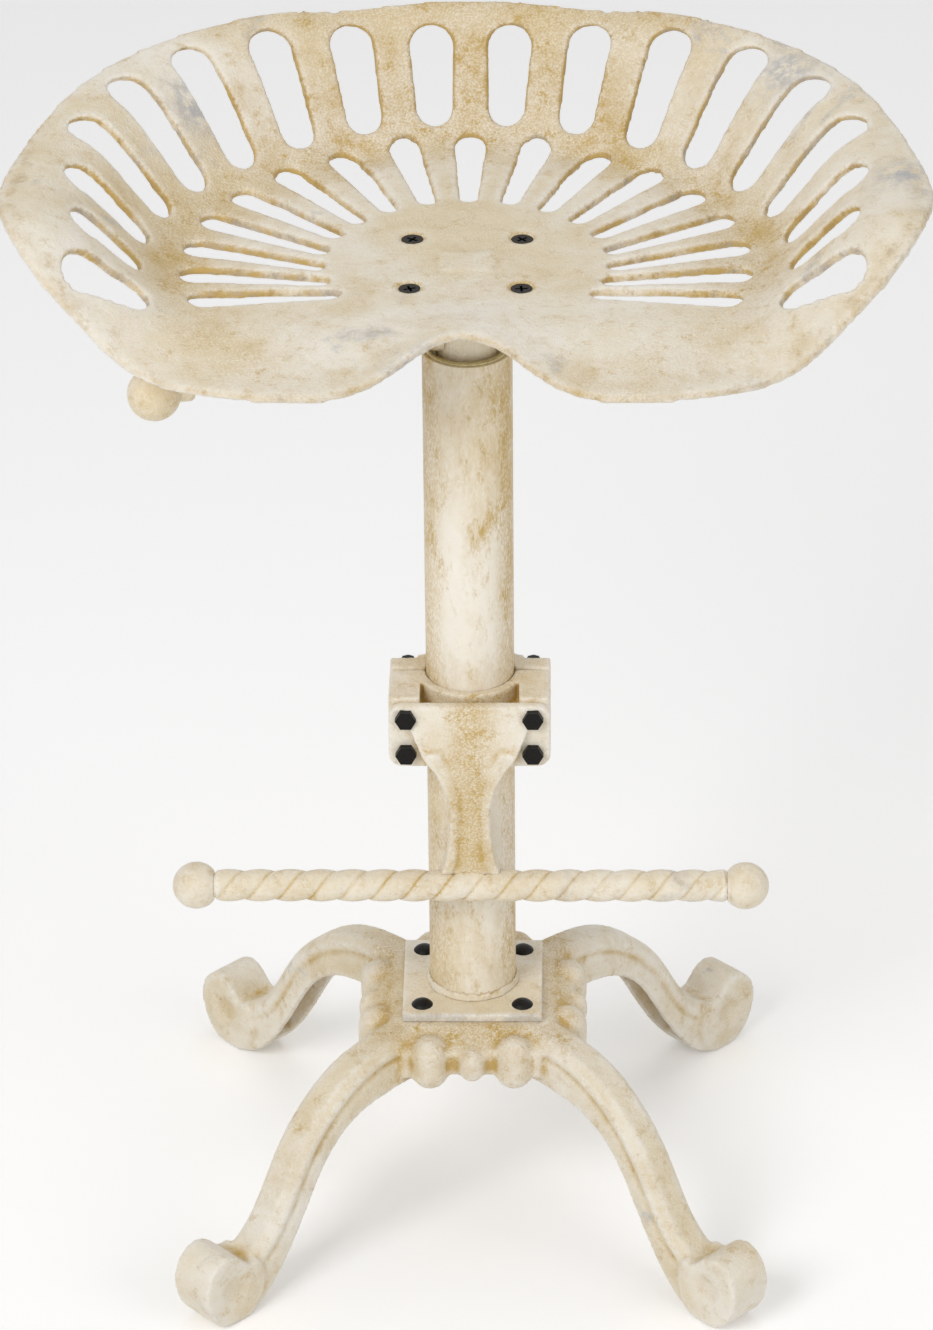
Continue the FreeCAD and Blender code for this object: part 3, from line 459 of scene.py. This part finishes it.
def soften(piece, cell, rounds):
    """Remeshes a casting finely and rubs its edges round."""
    remesh(piece, cell, smooth_shade=True)
    apply_modifier(piece, "CORRECTIVE_SMOOTH", factor=0.5, iterations=rounds, smooth_type="LENGTH_WEIGHTED",
                   use_only_smooth=True)


def span(piece, axis):
    """The lowest and the highest coordinate of a piece along one axis."""
    along = [vertex.co[axis] for vertex in piece.data.vertices]
    return min(along), max(along)


def vertex_rows(mesh, key):
    """The place or the normal of every vertex, one to a row."""
    rows = np.empty(len(mesh.vertices) * 3, np.float32)
    mesh.vertices.foreach_get(key, rows)
    return rows.reshape(-1, 3)


def edge_pairs(mesh):
    """The two vertex numbers of every edge."""
    pairs = np.empty(len(mesh.edges) * 2, np.int64)
    mesh.edges.foreach_get("vertices", pairs)
    return pairs.reshape(-1, 2)


def averaged(values, pairs, times_over):
    """Each vertex's value mixed half and half with its neighbours', several times."""
    count = np.zeros(len(values))
    np.add.at(count, pairs.ravel(), 1)
    shape = (-1,) + (1,) * (values.ndim - 1)
    for _ in range(times_over):
        total = np.zeros_like(values)
        np.add.at(total, pairs[:, 0], values[pairs[:, 1]])
        np.add.at(total, pairs[:, 1], values[pairs[:, 0]])
        values = 0.5 * values + 0.5 * total / np.maximum(count, 1).reshape(shape)
    return values


def at_the_rim(places):
    """1 at the outermost points in each direction round the middle, and 0 inside them."""
    sectors = 240
    rim_width = 8 * MM
    fade = 3 * MM
    radius = np.hypot(places[:, X], places[:, Y])
    turn = np.arctan2(places[:, Y], places[:, X]) / math.tau + 0.5
    sector = (turn * sectors).astype(int) % sectors
    farthest = np.zeros(sectors)
    np.maximum.at(farthest, sector, radius)
    return np.clip((radius - farthest[sector] + rim_width) / fade, 0, 1)


def slot_walls(places, normals, pairs, focus):
    """How wall-like each point of a dished sheet is, whose broad faces look at the focus."""
    broad_facing = 0.78
    fade = 0.35
    rim_loss = 0.75
    gaze = np.array(focus) - places
    gaze /= np.linalg.norm(gaze, axis=1)[:, None]
    facing = averaged(np.abs((gaze * normals).sum(1)), pairs, 1)
    return (broad_facing - facing) / fade * (1 - rim_loss * at_the_rim(places))


def folded_walls(normals, pairs):
    """How wall-like each point is, from how much the surface turns round it."""
    gain = 1.6
    threshold = 0.22
    passes = 10
    spread = averaged(normals, pairs, passes)
    return gain * (1.0 - np.linalg.norm(spread, axis=1)) - threshold


def mark_relief(piece, depth, focus=None):
    """Stores how hollow, how sharp and how wall-like each point of a casting is.

    Hollows and edges are read from the distance to a smoother self, whose full measure is the depth.
    """
    mesh = piece.data
    passes = 14
    places = vertex_rows(mesh, "co").astype(float)
    normals = vertex_rows(mesh, "normal").astype(float)
    pairs = edge_pairs(mesh)
    smoother = averaged(places, pairs, passes)
    bulge = averaged(((places - smoother) * normals).sum(1), pairs, 1)
    wall = slot_walls(places, normals, pairs, focus) if focus else folded_walls(normals, pairs)
    for label, values in (("hollow", -bulge / depth), ("edge", bulge / depth), ("wall", wall)):
        layer = mesh.attributes.new(label, "FLOAT", "POINT")
        layer.data.foreach_set("value", np.clip(values, 0, 1).astype(np.float32))


def brush_on(piece, label, strength):
    """Stores where the wash was laid on by hand, where the coat is rubbed thin, and where shade is painted,
    as a function of the point.
    """
    mesh = piece.data
    layer = mesh.attributes.new(label, "FLOAT", "POINT")
    for vertex, mark in zip(mesh.vertices, layer.data):
        mark.value = min(max(strength(vertex.co), 0.0), 1.0)


def bell(value, centre, width):
    """A hump of height 1 about a centre."""
    return math.exp(-((value - centre) / width) ** 2)


def roughen(piece, depth):
    """Pushes a casting's surface in and out by its sand grain and a little unevenness."""
    grain_scale = 420.0
    fine_step = 2.3
    fine_share = 0.5
    mesh = piece.data
    normals = [vertex.normal.copy() for vertex in mesh.vertices]
    for vertex, normal in zip(mesh.vertices, normals):
        spot = vertex.co * grain_scale
        wave = noise.noise(spot) + fine_share * noise.noise(spot * fine_step)
        vertex.co += normal * (depth * wave)
    mesh.update()


def keep_inside(piece):
    """Holds a piece's points inside the CAD model's box."""
    low, high = (np.array(corner, np.float32) for corner in CAD_BOX)
    held = np.clip(vertex_rows(piece.data, "co"), low, high)
    piece.data.vertices.foreach_set("co", held.ravel())
    piece.data.update()


def cast_copy(node, name, body, finish, cell, relief, rounds, shape=None,
              grain=None, focus=None):
    """A softened, grained copy of a CAD casting that stands for it; shape cuts it before it is softened."""
    if grain is None:
        grain = bpy.context.scene.stool_casting.grain
    piece = copy_of(node, name)
    if shape:
        shape(piece)
    soften(piece, cell, rounds)
    mark_relief(piece, relief, focus)
    roughen(piece, grain)
    keep_inside(piece)
    for polygon in piece.data.polygons:
        polygon.use_smooth = True
    finish_with(piece, finish)
    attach(piece, body)
    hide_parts(node)
    return piece


class STOOL_OT_leg_casting(bpy.types.Operator):
    """Softens and grains the casting with the four legs, and its base plate"""
    bl_idname = "stool.leg_casting"
    bl_label = "Leg Casting"

    def execute(self, context):
        casting = context.scene.stool_casting
        legs = cast_copy("leg_casting", "cast_legs", "base", "leg paint", casting.leg_cell,
                         relief=0.55 * MM, rounds=casting.rounds)

        def round_the_plate(point):
            """A band of wash on the hub, thickest a little outside the plate's edge."""
            return 0.9 * bell(max(abs(point.x), abs(point.y)), 47 * MM, 12 * MM)

        brush_on(legs, "tint", round_the_plate)
        plate = cast_copy("base_plate", "worn_base_plate", "base", "fitting paint", casting.small_cell,
                          relief=0.3 * MM, rounds=1, grain=0.05 * MM)
        front = span(plate, Y)[0]

        def front_edge(point):
            """The coat is thin on the plate's front edge."""
            return 0.55 * bell(point.y, front, 1.2 * MM)

        brush_on(plate, "thin", front_edge)
        return {"FINISHED"}


class STOOL_OT_seat_pan(bpy.types.Operator):
    """Softens and grains the cast seat"""
    bl_idname = "stool.seat_pan"
    bl_label = "Seat Pan"

    def execute(self, context):
        casting = context.scene.stool_casting
        back = CAD_BOX[1][Y]
        above_the_hollow = (0, 0, CAD_BOX[1][Z] + 250 * MM)
        seat = cast_copy("seat_pan", "cast_seat", "seat", "seat paint", casting.seat_cell, relief=0.6 * MM,
                         rounds=7, focus=above_the_hollow)

        def washed(point):
            """Gold between the two fans of slots, on the back rim and round the screws."""
            reach = math.hypot(point.x, point.y)
            front_share = 1.0 if point.y > -40 * MM else 0.5
            between_fans = bell(reach, 150 * MM, 24 * MM) * front_share
            back_rim = bell(point.y, back, 36 * MM)
            to_screw = math.hypot(abs(point.x) - SCREW_PATTERN / 2,
                                  abs(point.y - SCREW_CENTRE) - SCREW_PATTERN / 2)
            screw_ring = bell(to_screw, 6 * MM, 1.6 * MM)
            return 0.8 * between_fans + 0.85 * back_rim + 1.4 * screw_ring

        # the first place, beside the front notch, is painted shade under its lip; the other three are
        # rubbed through
        rubbed_and_shaded_places = (((-21 * MM, -114 * MM), 18 * MM), ((172 * MM, 128 * MM), 15 * MM),
                       ((228 * MM, 2 * MM), 14 * MM), ((-150 * MM, 118 * MM), 12 * MM))

        def rubbed_thin_and_notch_shade(point):
            """The places where the coat is rubbed through, and painted shade under the front notch's lip.
            """
            return max(bell(math.dist((point.x, point.y), place), 0, width) for place, width in rubbed_and_shaded_places)

        brush_on(seat, "tint", washed)
        brush_on(seat, "thin", rubbed_thin_and_notch_shade)
        return {"FINISHED"}


def block(low, high):
    """A box-shaped cutter between two corners."""
    bpy.ops.mesh.primitive_cube_add(size=1)
    cutter = bpy.context.object
    middle = (Vector(low) + Vector(high)) / 2
    extent = Vector(high) - Vector(low)
    for vertex in cutter.data.vertices:
        vertex.co = Vector(vertex.co[i] * extent[i] + middle[i] for i in range(3))
    return cutter


def upright(radius, low, high):
    """A round cutter on the axis of the post."""
    bpy.ops.mesh.primitive_cylinder_add(vertices=96, radius=radius, depth=high - low)
    cutter = bpy.context.object
    cutter.data.transform(Matrix.Translation((0, 0, (low + high) / 2)))
    return cutter


def combine(piece, other, operation):
    """Joins or cuts a piece with another, which is used up."""
    apply_modifier(piece, "BOOLEAN", operation=operation, object=other, solver="EXACT")
    bpy.data.objects.remove(other, do_unlink=True)


def carve(piece, cutter):
    """Cuts a shape out of a piece."""
    combine(piece, cutter, "DIFFERENCE")


def loft(stations):
    """An upright block drawn through stations, each with its half width, front, back and height."""
    slack = 0.01 * MM
    bpy.ops.mesh.primitive_cube_add(size=1)
    piece = bpy.context.object

    def place(vertices, station):
        """Moves vertices to the corners of a station."""
        half, front, back, height = station
        for vertex in vertices:
            side = half if vertex.co.x > 0 else -half
            depth = front if vertex.co.y < back - slack else back
            vertex.co = (side, depth, height)

    lower = [vertex for vertex in piece.data.vertices if vertex.co.z < 0]
    upper = [vertex for vertex in piece.data.vertices if vertex.co.z > 0]
    place(lower, stations[0])
    place(upper, stations[1])
    for station in stations[2:]:
        peak = span(piece, Z)[1]
        bpy.ops.object.mode_set(mode="EDIT")
        bpy.ops.mesh.select_mode(type="FACE")
        bpy.ops.mesh.select_all(action="DESELECT")
        bpy.ops.object.mode_set(mode="OBJECT")
        for polygon in piece.data.polygons:
            polygon.select = polygon.center.z > peak - slack
        bpy.ops.object.mode_set(mode="EDIT")
        bpy.ops.mesh.extrude_region_move(TRANSFORM_OT_translate={"value": (0, 0, station[3] - peak)})
        bpy.ops.object.mode_set(mode="OBJECT")
        place([vertex for vertex in piece.data.vertices if vertex.co.z > peak + slack], station)
    return piece


def plate_apron(piece):
    """Runs the stem of the bracket up over its plate in one swept face, and makes its hollow shallow."""
    top = span(piece, Z)[1]
    back = -33 * MM
    stem_front = -46 * MM
    plate_front = -38.2 * MM
    stations = [(8.6 * MM, stem_front + 1.6 * MM, back, top - 104 * MM),
                (7.2 * MM, stem_front + 1.5 * MM, back, top - 70 * MM),
                (7.2 * MM, stem_front + 1.2 * MM, back, top - 60 * MM),
                (10.6 * MM, stem_front + 0.7 * MM, back, top - 44 * MM)]
    steps = 8
    sweep_front = stem_front + 0.5 * MM
    sweep_half = 18 * MM
    sweep_drop = 38 * MM
    plate_drop = 0.4 * MM
    for step in range(steps + 1):
        share = step / steps
        half = sweep_half * (1 + share ** 0.6)
        front = sweep_front + (plate_front - sweep_front) * share ** 1.2
        drop = sweep_drop + (plate_drop - sweep_drop) * share
        stations.append((half, front, back, top - drop))
    combine(piece, loft(stations), "UNION")


def twisted_strands(piece):
    """Draws the bar out into two rounded strands with a narrow groove between them."""
    remesh(piece, 0.6 * MM)
    lead = 34 * MM
    swell = 0.7 * MM
    groove = 1.9 * MM
    plain_end = 7 * MM
    core = 4 * MM
    low_y, high_y = span(piece, Y)
    low_z, high_z = span(piece, Z)
    axis_y = (low_y + high_y) / 2
    axis_z = (low_z + high_z) / 2
    reach = high_z - axis_z + swell
    twist_end = span(piece, X)[1] - plain_end
    for vertex in piece.data.vertices:
        place = vertex.co
        away = math.hypot(place.y - axis_y, place.z - axis_z)
        if abs(place.x) > twist_end or away < core:
            continue
        angle = math.atan2(place.z - axis_z, place.y - axis_y)
        across = math.sin((angle + math.tau * place.x / lead) % math.pi)
        drawn = reach - groove * (1 - across ** 0.55)
        place.y = axis_y + drawn * math.cos(angle)
        place.z = axis_z + drawn * math.sin(angle)


def round_ears(piece):
    """Rounds the upper back edge of the rear ears, so that the nuts show behind them."""
    top = span(piece, Z)[1]
    face = 16 * MM
    radius = 6 * MM
    ear_inner = 29 * MM
    ear_outer = 46 * MM
    spare = 1 * MM
    for side in (-1, 1):
        near, far = sorted((side * ear_inner, side * ear_outer))
        corner = block((near, face - radius, top - radius), (far, face + spare, top + spare))
        rod = upright(radius, near - spare, far + spare)
        rod.data.transform(Matrix.Rotation(math.pi / 2, 4, "Y"))
        rod.data.transform(Matrix.Translation((0, face - radius, top - radius)))
        carve(corner, rod)
        carve(piece, corner)


def saddle_pocket(piece):
    """Sinks a pocket between the saddle round the post and the bolted face of the clamp."""
    top = span(piece, Z)[1]
    front = span(piece, Y)[0]
    half = 27 * MM
    back = -9 * MM
    depth = 11 * MM
    saddle_radius = 29.6 * MM
    saddle_half = 20 * MM
    spare = 5 * MM
    pocket = block((-half, front - spare, top - depth), (half, back, top + spare))
    carve(pocket, upright(saddle_radius, top - saddle_half, top + saddle_half))
    carve(piece, pocket)


class STOOL_OT_footrest(bpy.types.Operator):
    """Softens the clamp, the bracket and the twisted bar"""
    bl_idname = "stool.footrest"
    bl_label = "Footrest"

    def execute(self, context):
        casting = context.scene.stool_casting
        shapes = {"clamp_front_half": saddle_pocket, "clamp_rear_half": round_ears,
                  "footrest_bracket": plate_apron, "left_bar_ball": None, "right_bar_ball": None}
        cast = {}
        for node, shape in shapes.items():
            rounds = 14 if node == "footrest_bracket" else casting.rounds
            cast[node] = cast_copy(node, "cast_" + node, "footrest", "fitting paint", casting.small_cell,
                                   relief=0.3 * MM, rounds=rounds, shape=shape)
        cast_copy("footrest_bar", "twisted_bar", "footrest", "fitting paint", 0.6 * MM, relief=0.16 * MM,
                  rounds=1, shape=twisted_strands, grain=0.04 * MM)

        band_height = span(cast["clamp_front_half"], Z)[1] - 6 * MM

        def down_the_stem(point):
            """Wash down the middle of the bracket."""
            return bell(point.x, 0, 13 * MM)

        def along_the_top(point):
            """Wash in a band below the clamp's upper edge, less towards its ears."""
            return 0.9 * bell(point.z, band_height, 9 * MM) * bell(point.x, 0, 40 * MM)

        brush_on(cast["footrest_bracket"], "tint", down_the_stem)
        for half in ("clamp_front_half", "clamp_rear_half"):
            brush_on(cast[half], "tint", along_the_top)
        return {"FINISHED"}


class STOOL_OT_screws(bpy.types.Operator):
    """Cuts cross recesses in the seat screws"""
    bl_idname = "stool.screws"
    bl_label = "Seat Screws"

    def execute(self, context):
        screws = copy_of("seat_screws", "cross_screws")
        top = span(screws, Z)[1]
        half_pattern = SCREW_PATTERN / 2
        half_length = 3.3 * MM
        half_width = 0.7 * MM
        depth = 2.2 * MM
        spare = 1 * MM
        first_turn = math.radians(20)
        next_turn = math.radians(37)
        for number, (side_x, side_y) in enumerate(((-1, -1), (-1, 1), (1, -1), (1, 1))):
            turn = first_turn + next_turn * number
            middle = (side_x * half_pattern, SCREW_CENTRE + side_y * half_pattern, top)
            for quarter in range(2):
                blade = block((-half_length, -half_width, -depth), (half_length, half_width, spare))
                blade.data.transform(Matrix.Rotation(turn + math.pi / 2 * quarter, 4, "Z"))
                blade.data.transform(Matrix.Translation(middle))
                carve(screws, blade)
        finish_with(screws, "black steel")
        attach(screws, "seat")
        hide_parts("seat_screws")
        return {"FINISHED"}


class STOOL_OT_bush_lip(bpy.types.Operator):
    """Adds the brass lip of the guide bush on the top of the post"""
    bl_idname = "stool.bush_lip"
    bl_label = "Bush Lip"

    def execute(self, context):
        rim = span(frame["nodes"]["post_tube"], Z)[1]
        flattening = 0.8
        proud = 0.4 * MM
        bpy.ops.mesh.primitive_torus_add(major_radius=20.9 * MM, minor_radius=1.7 * MM, major_segments=96,
                                         minor_segments=20)
        lip = context.object
        lip.name = "bush_lip"
        for vertex in lip.data.vertices:
            vertex.co.z = vertex.co.z * flattening + rim + proud
        bpy.ops.object.shade_smooth()
        finish_with(lip, "guide brass")
        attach(lip, "base")
        return {"FINISHED"}


def weld_ripples(piece):
    """Pulls the bead in to an uneven throat and lays the ripples of its runs round it."""
    foot = span(piece, Z)[0]
    tube = min(math.hypot(vertex.co.x, vertex.co.y) for vertex in piece.data.vertices)
    remesh(piece, 0.7 * MM)
    bead_height = 6 * MM
    throat = 0.34
    unevenness = 0.25
    ripple_depth = 0.3 * MM
    ripple_count = 46
    ripple_slant = 60
    root = 0.2 * MM
    for vertex in piece.data.vertices:
        angle = math.atan2(vertex.co.y, vertex.co.x)
        outward = Vector((math.cos(angle), math.sin(angle), 0))
        raised = (vertex.co.z - foot) / bead_height
        reach = math.hypot(vertex.co.x, vertex.co.y) - tube
        kept = throat + unevenness * noise.noise(Vector((3 * outward.x, 3 * outward.y, 7)))
        ripple = ripple_depth * math.sin(ripple_count * angle + ripple_slant * raised)
        ripple *= 1 - abs(2 * raised - 1)
        if reach > root:
            vertex.co += outward * (ripple - reach * (1 - kept))


class STOOL_OT_weld(bpy.types.Operator):
    """Gives the weld round the foot of the post its ripples"""
    bl_idname = "stool.weld"
    bl_label = "Weld"

    def execute(self, context):
        cast_copy("post_weld_bead", "cast_weld", "base", "fitting paint", 0.7 * MM, relief=0.3 * MM,
                  rounds=3, shape=weld_ripples)
        return {"FINISHED"}


class STOOL_OT_plain_nodes(bpy.types.Operator):
    """Gives the pieces that keep their CAD form their finishes"""
    bl_idname = "stool.plain_nodes"
    bl_label = "Plain Pieces"

    def execute(self, context):
        finishes = {
            "post paint": ("post_tube", "lift_column", "handle_rod", "handle_boss"),
            "fitting paint": ("handle_knob", "seat_flange"),
            "black steel": ("base_bolts", "base_washers", "base_nuts", "seat_nuts",
                            "clamp_bolts", "clamp_acorn_nuts"),
            "guide brass": ("top_bush", "lift_nut", "guide_collar", "thrust_washer"),
            "turned steel": ("lift_screw", "screw_plug", "pintle_cap", "retaining_ring"),
        }
        for finish, nodes in finishes.items():
            for node in nodes:
                finish_with(frame["nodes"][node], finish)
        return {"FINISHED"}


# Stage


def lamp(name, place, aim, side, power):
    """A square soft lamp that faces its aim point."""
    data = bpy.data.lights.new(name, "AREA")
    data.size = side
    data.energy = power
    light = bpy.data.objects.new(name, data)
    bpy.context.scene.collection.objects.link(light)
    light.location = place
    light.rotation_euler = (Vector(aim) - Vector(place)).to_track_quat("-Z", "Y").to_euler()


def lens_and_gloss(tree):
    """1 for what the lens sees, straight or in a glossy surface, and 0 for all other light."""
    path = tree.nodes.new("ShaderNodeLightPath")
    return larger(tree, path.outputs["Is Camera Ray"], path.outputs["Is Glossy Ray"])


def pale_to_the_camera(tree, shader, output, strength):
    """Lifts the floor towards white for the lens and for glossy rays, and keeps its shadows."""
    glow = tree.nodes.new("ShaderNodeEmission")
    tree.links.new(times(tree, lens_and_gloss(tree), strength), glow.inputs["Strength"])
    both = tree.nodes.new("ShaderNodeAddShader")
    tree.links.new(shader, both.inputs[0])
    tree.links.new(glow.outputs["Emission"], both.inputs[1])
    tree.links.new(both.outputs["Shader"], output.inputs["Surface"])


def white_to_the_camera(tree, shader, output):
    """Shows plain white to the lens and to glossy rays, and the shader's own light to the rest."""
    glow = tree.nodes.new("ShaderNodeEmission")
    glow.inputs["Color"].default_value = (1, 1, 1, 1)
    glow.inputs["Strength"].default_value = 1.0
    mix = tree.nodes.new("ShaderNodeMixShader")
    tree.links.new(lens_and_gloss(tree), mix.inputs["Fac"])
    tree.links.new(shader, mix.inputs[1])
    tree.links.new(glow.outputs["Emission"], mix.inputs[2])
    tree.links.new(mix.outputs["Shader"], output.inputs["Surface"])


class STOOL_OT_studio(bpy.types.Operator):
    """Sets up the pale floor, the soft lamps and the camera"""
    bl_idname = "stool.studio"
    bl_label = "Studio"

    def execute(self, context):
        context.scene.view_settings.view_transform = "Standard"
        self.floor(context)
        self.world(context)
        waist = (0, 0, 0.35)
        lamp("key", (-1.4, -1.9, 2.1), waist, side=1.3, power=36)
        lamp("fill", (1.9, -1.6, 1.3), waist, side=1.6, power=13)
        lamp("top", (0.3, 0.9, 2.8), (0, 0, 0.3), side=1.8, power=9)
        self.camera(context)
        return {"FINISHED"}

    def floor(self, context):
        """Lays a pale floor just under the feet."""
        under_the_feet = -0.4 * MM
        bpy.ops.mesh.primitive_plane_add(size=14, location=(0, 0, under_the_feet))
        floor = context.object
        floor.name = "floor"
        material = bpy.data.materials.new("studio floor")
        material.use_nodes = True
        tree = material.node_tree
        shader = tree.nodes["Principled BSDF"]
        shader.inputs["Base Color"].default_value = (0.97, 0.97, 0.97, 1)
        shader.inputs["Roughness"].default_value = 0.7
        pale_to_the_camera(tree, shader.outputs["BSDF"], tree.nodes["Material Output"], strength=0.17)
        floor.data.materials.append(material)

    def world(self, context):
        """Fills the room with soft light, and shows the lens plain white."""
        scene = context.scene
        scene.world = scene.world or bpy.data.worlds.new("studio")
        scene.world.use_nodes = True
        tree = scene.world.node_tree
        background = tree.nodes["Background"]
        background.inputs["Color"].default_value = (1, 1, 1, 1)
        background.inputs["Strength"].default_value = 0.44
        white_to_the_camera(tree, background.outputs["Background"], tree.nodes["World Output"])

    def camera(self, context):
        """Places the camera at the picture's angle."""
        view = context.scene.stool_camera
        heading = -view.azimuth
        level = math.cos(view.elevation)
        forward = Vector((math.sin(heading) * level, math.cos(heading) * level, -math.sin(view.elevation)))
        right = Vector((math.cos(heading), -math.sin(heading), 0))
        up = right.cross(forward)
        turned_right = right * math.cos(view.roll) + up * math.sin(view.roll)
        turned_up = up * math.cos(view.roll) - right * math.sin(view.roll)
        aim = Vector((0, 0, view.aim_height)) + right * view.aim_side
        data = bpy.data.cameras.new("camera")
        data.sensor_fit = "VERTICAL"
        data.sensor_height = 36
        data.lens = view.lens
        data.clip_end = 50
        camera = bpy.data.objects.new("camera", data)
        context.scene.collection.objects.link(camera)
        place = aim - forward * view.distance
        axes = Matrix((turned_right, turned_up, -forward)).transposed().to_4x4()
        camera.matrix_world = Matrix.Translation(place) @ axes
        context.scene.camera = camera


class STOOL_PT_panel(bpy.types.Panel):
    """Builds the stool's finished pieces"""
    bl_label = "Tractor Seat Stool"
    bl_idname = "STOOL_PT_panel"
    bl_space_type = "VIEW_3D"
    bl_region_type = "UI"
    bl_category = "Stool"

    def draw(self, context):
        for name, group in SETTINGS.items():
            box = self.layout.box()
            for key in group.__annotations__:
                box.prop(getattr(context.scene, name), key)
        for operator in OPERATORS:
            self.layout.operator(operator.bl_idname)


SETTINGS = {"stool_paint": StoolPaint, "stool_casting": StoolCasting, "stool_camera": StoolCamera}
OPERATORS = (STOOL_OT_leg_casting, STOOL_OT_seat_pan, STOOL_OT_footrest, STOOL_OT_screws, STOOL_OT_bush_lip,
             STOOL_OT_weld, STOOL_OT_plain_nodes, STOOL_OT_studio)


def register():
    """Adds the settings, the operators and the panel."""
    for name, group in SETTINGS.items():
        bpy.utils.register_class(group)
        setattr(bpy.types.Scene, name, PointerProperty(type=group))
    for operator in OPERATORS:
        bpy.utils.register_class(operator)
    bpy.utils.register_class(STOOL_PT_panel)


def unregister():
    """Takes them away again."""
    bpy.utils.unregister_class(STOOL_PT_panel)
    for operator in reversed(OPERATORS):
        bpy.utils.unregister_class(operator)
    for name, group in SETTINGS.items():
        delattr(bpy.types.Scene, name)
        bpy.utils.unregister_class(group)


def main():
    """Registers the add-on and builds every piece."""
    register()
    bpy.ops.stool.leg_casting()
    bpy.ops.stool.seat_pan()
    bpy.ops.stool.footrest()
    bpy.ops.stool.screws()
    bpy.ops.stool.bush_lip()
    bpy.ops.stool.weld()
    bpy.ops.stool.plain_nodes()
    bpy.ops.stool.studio()


if __name__ == "__main__":
    main()
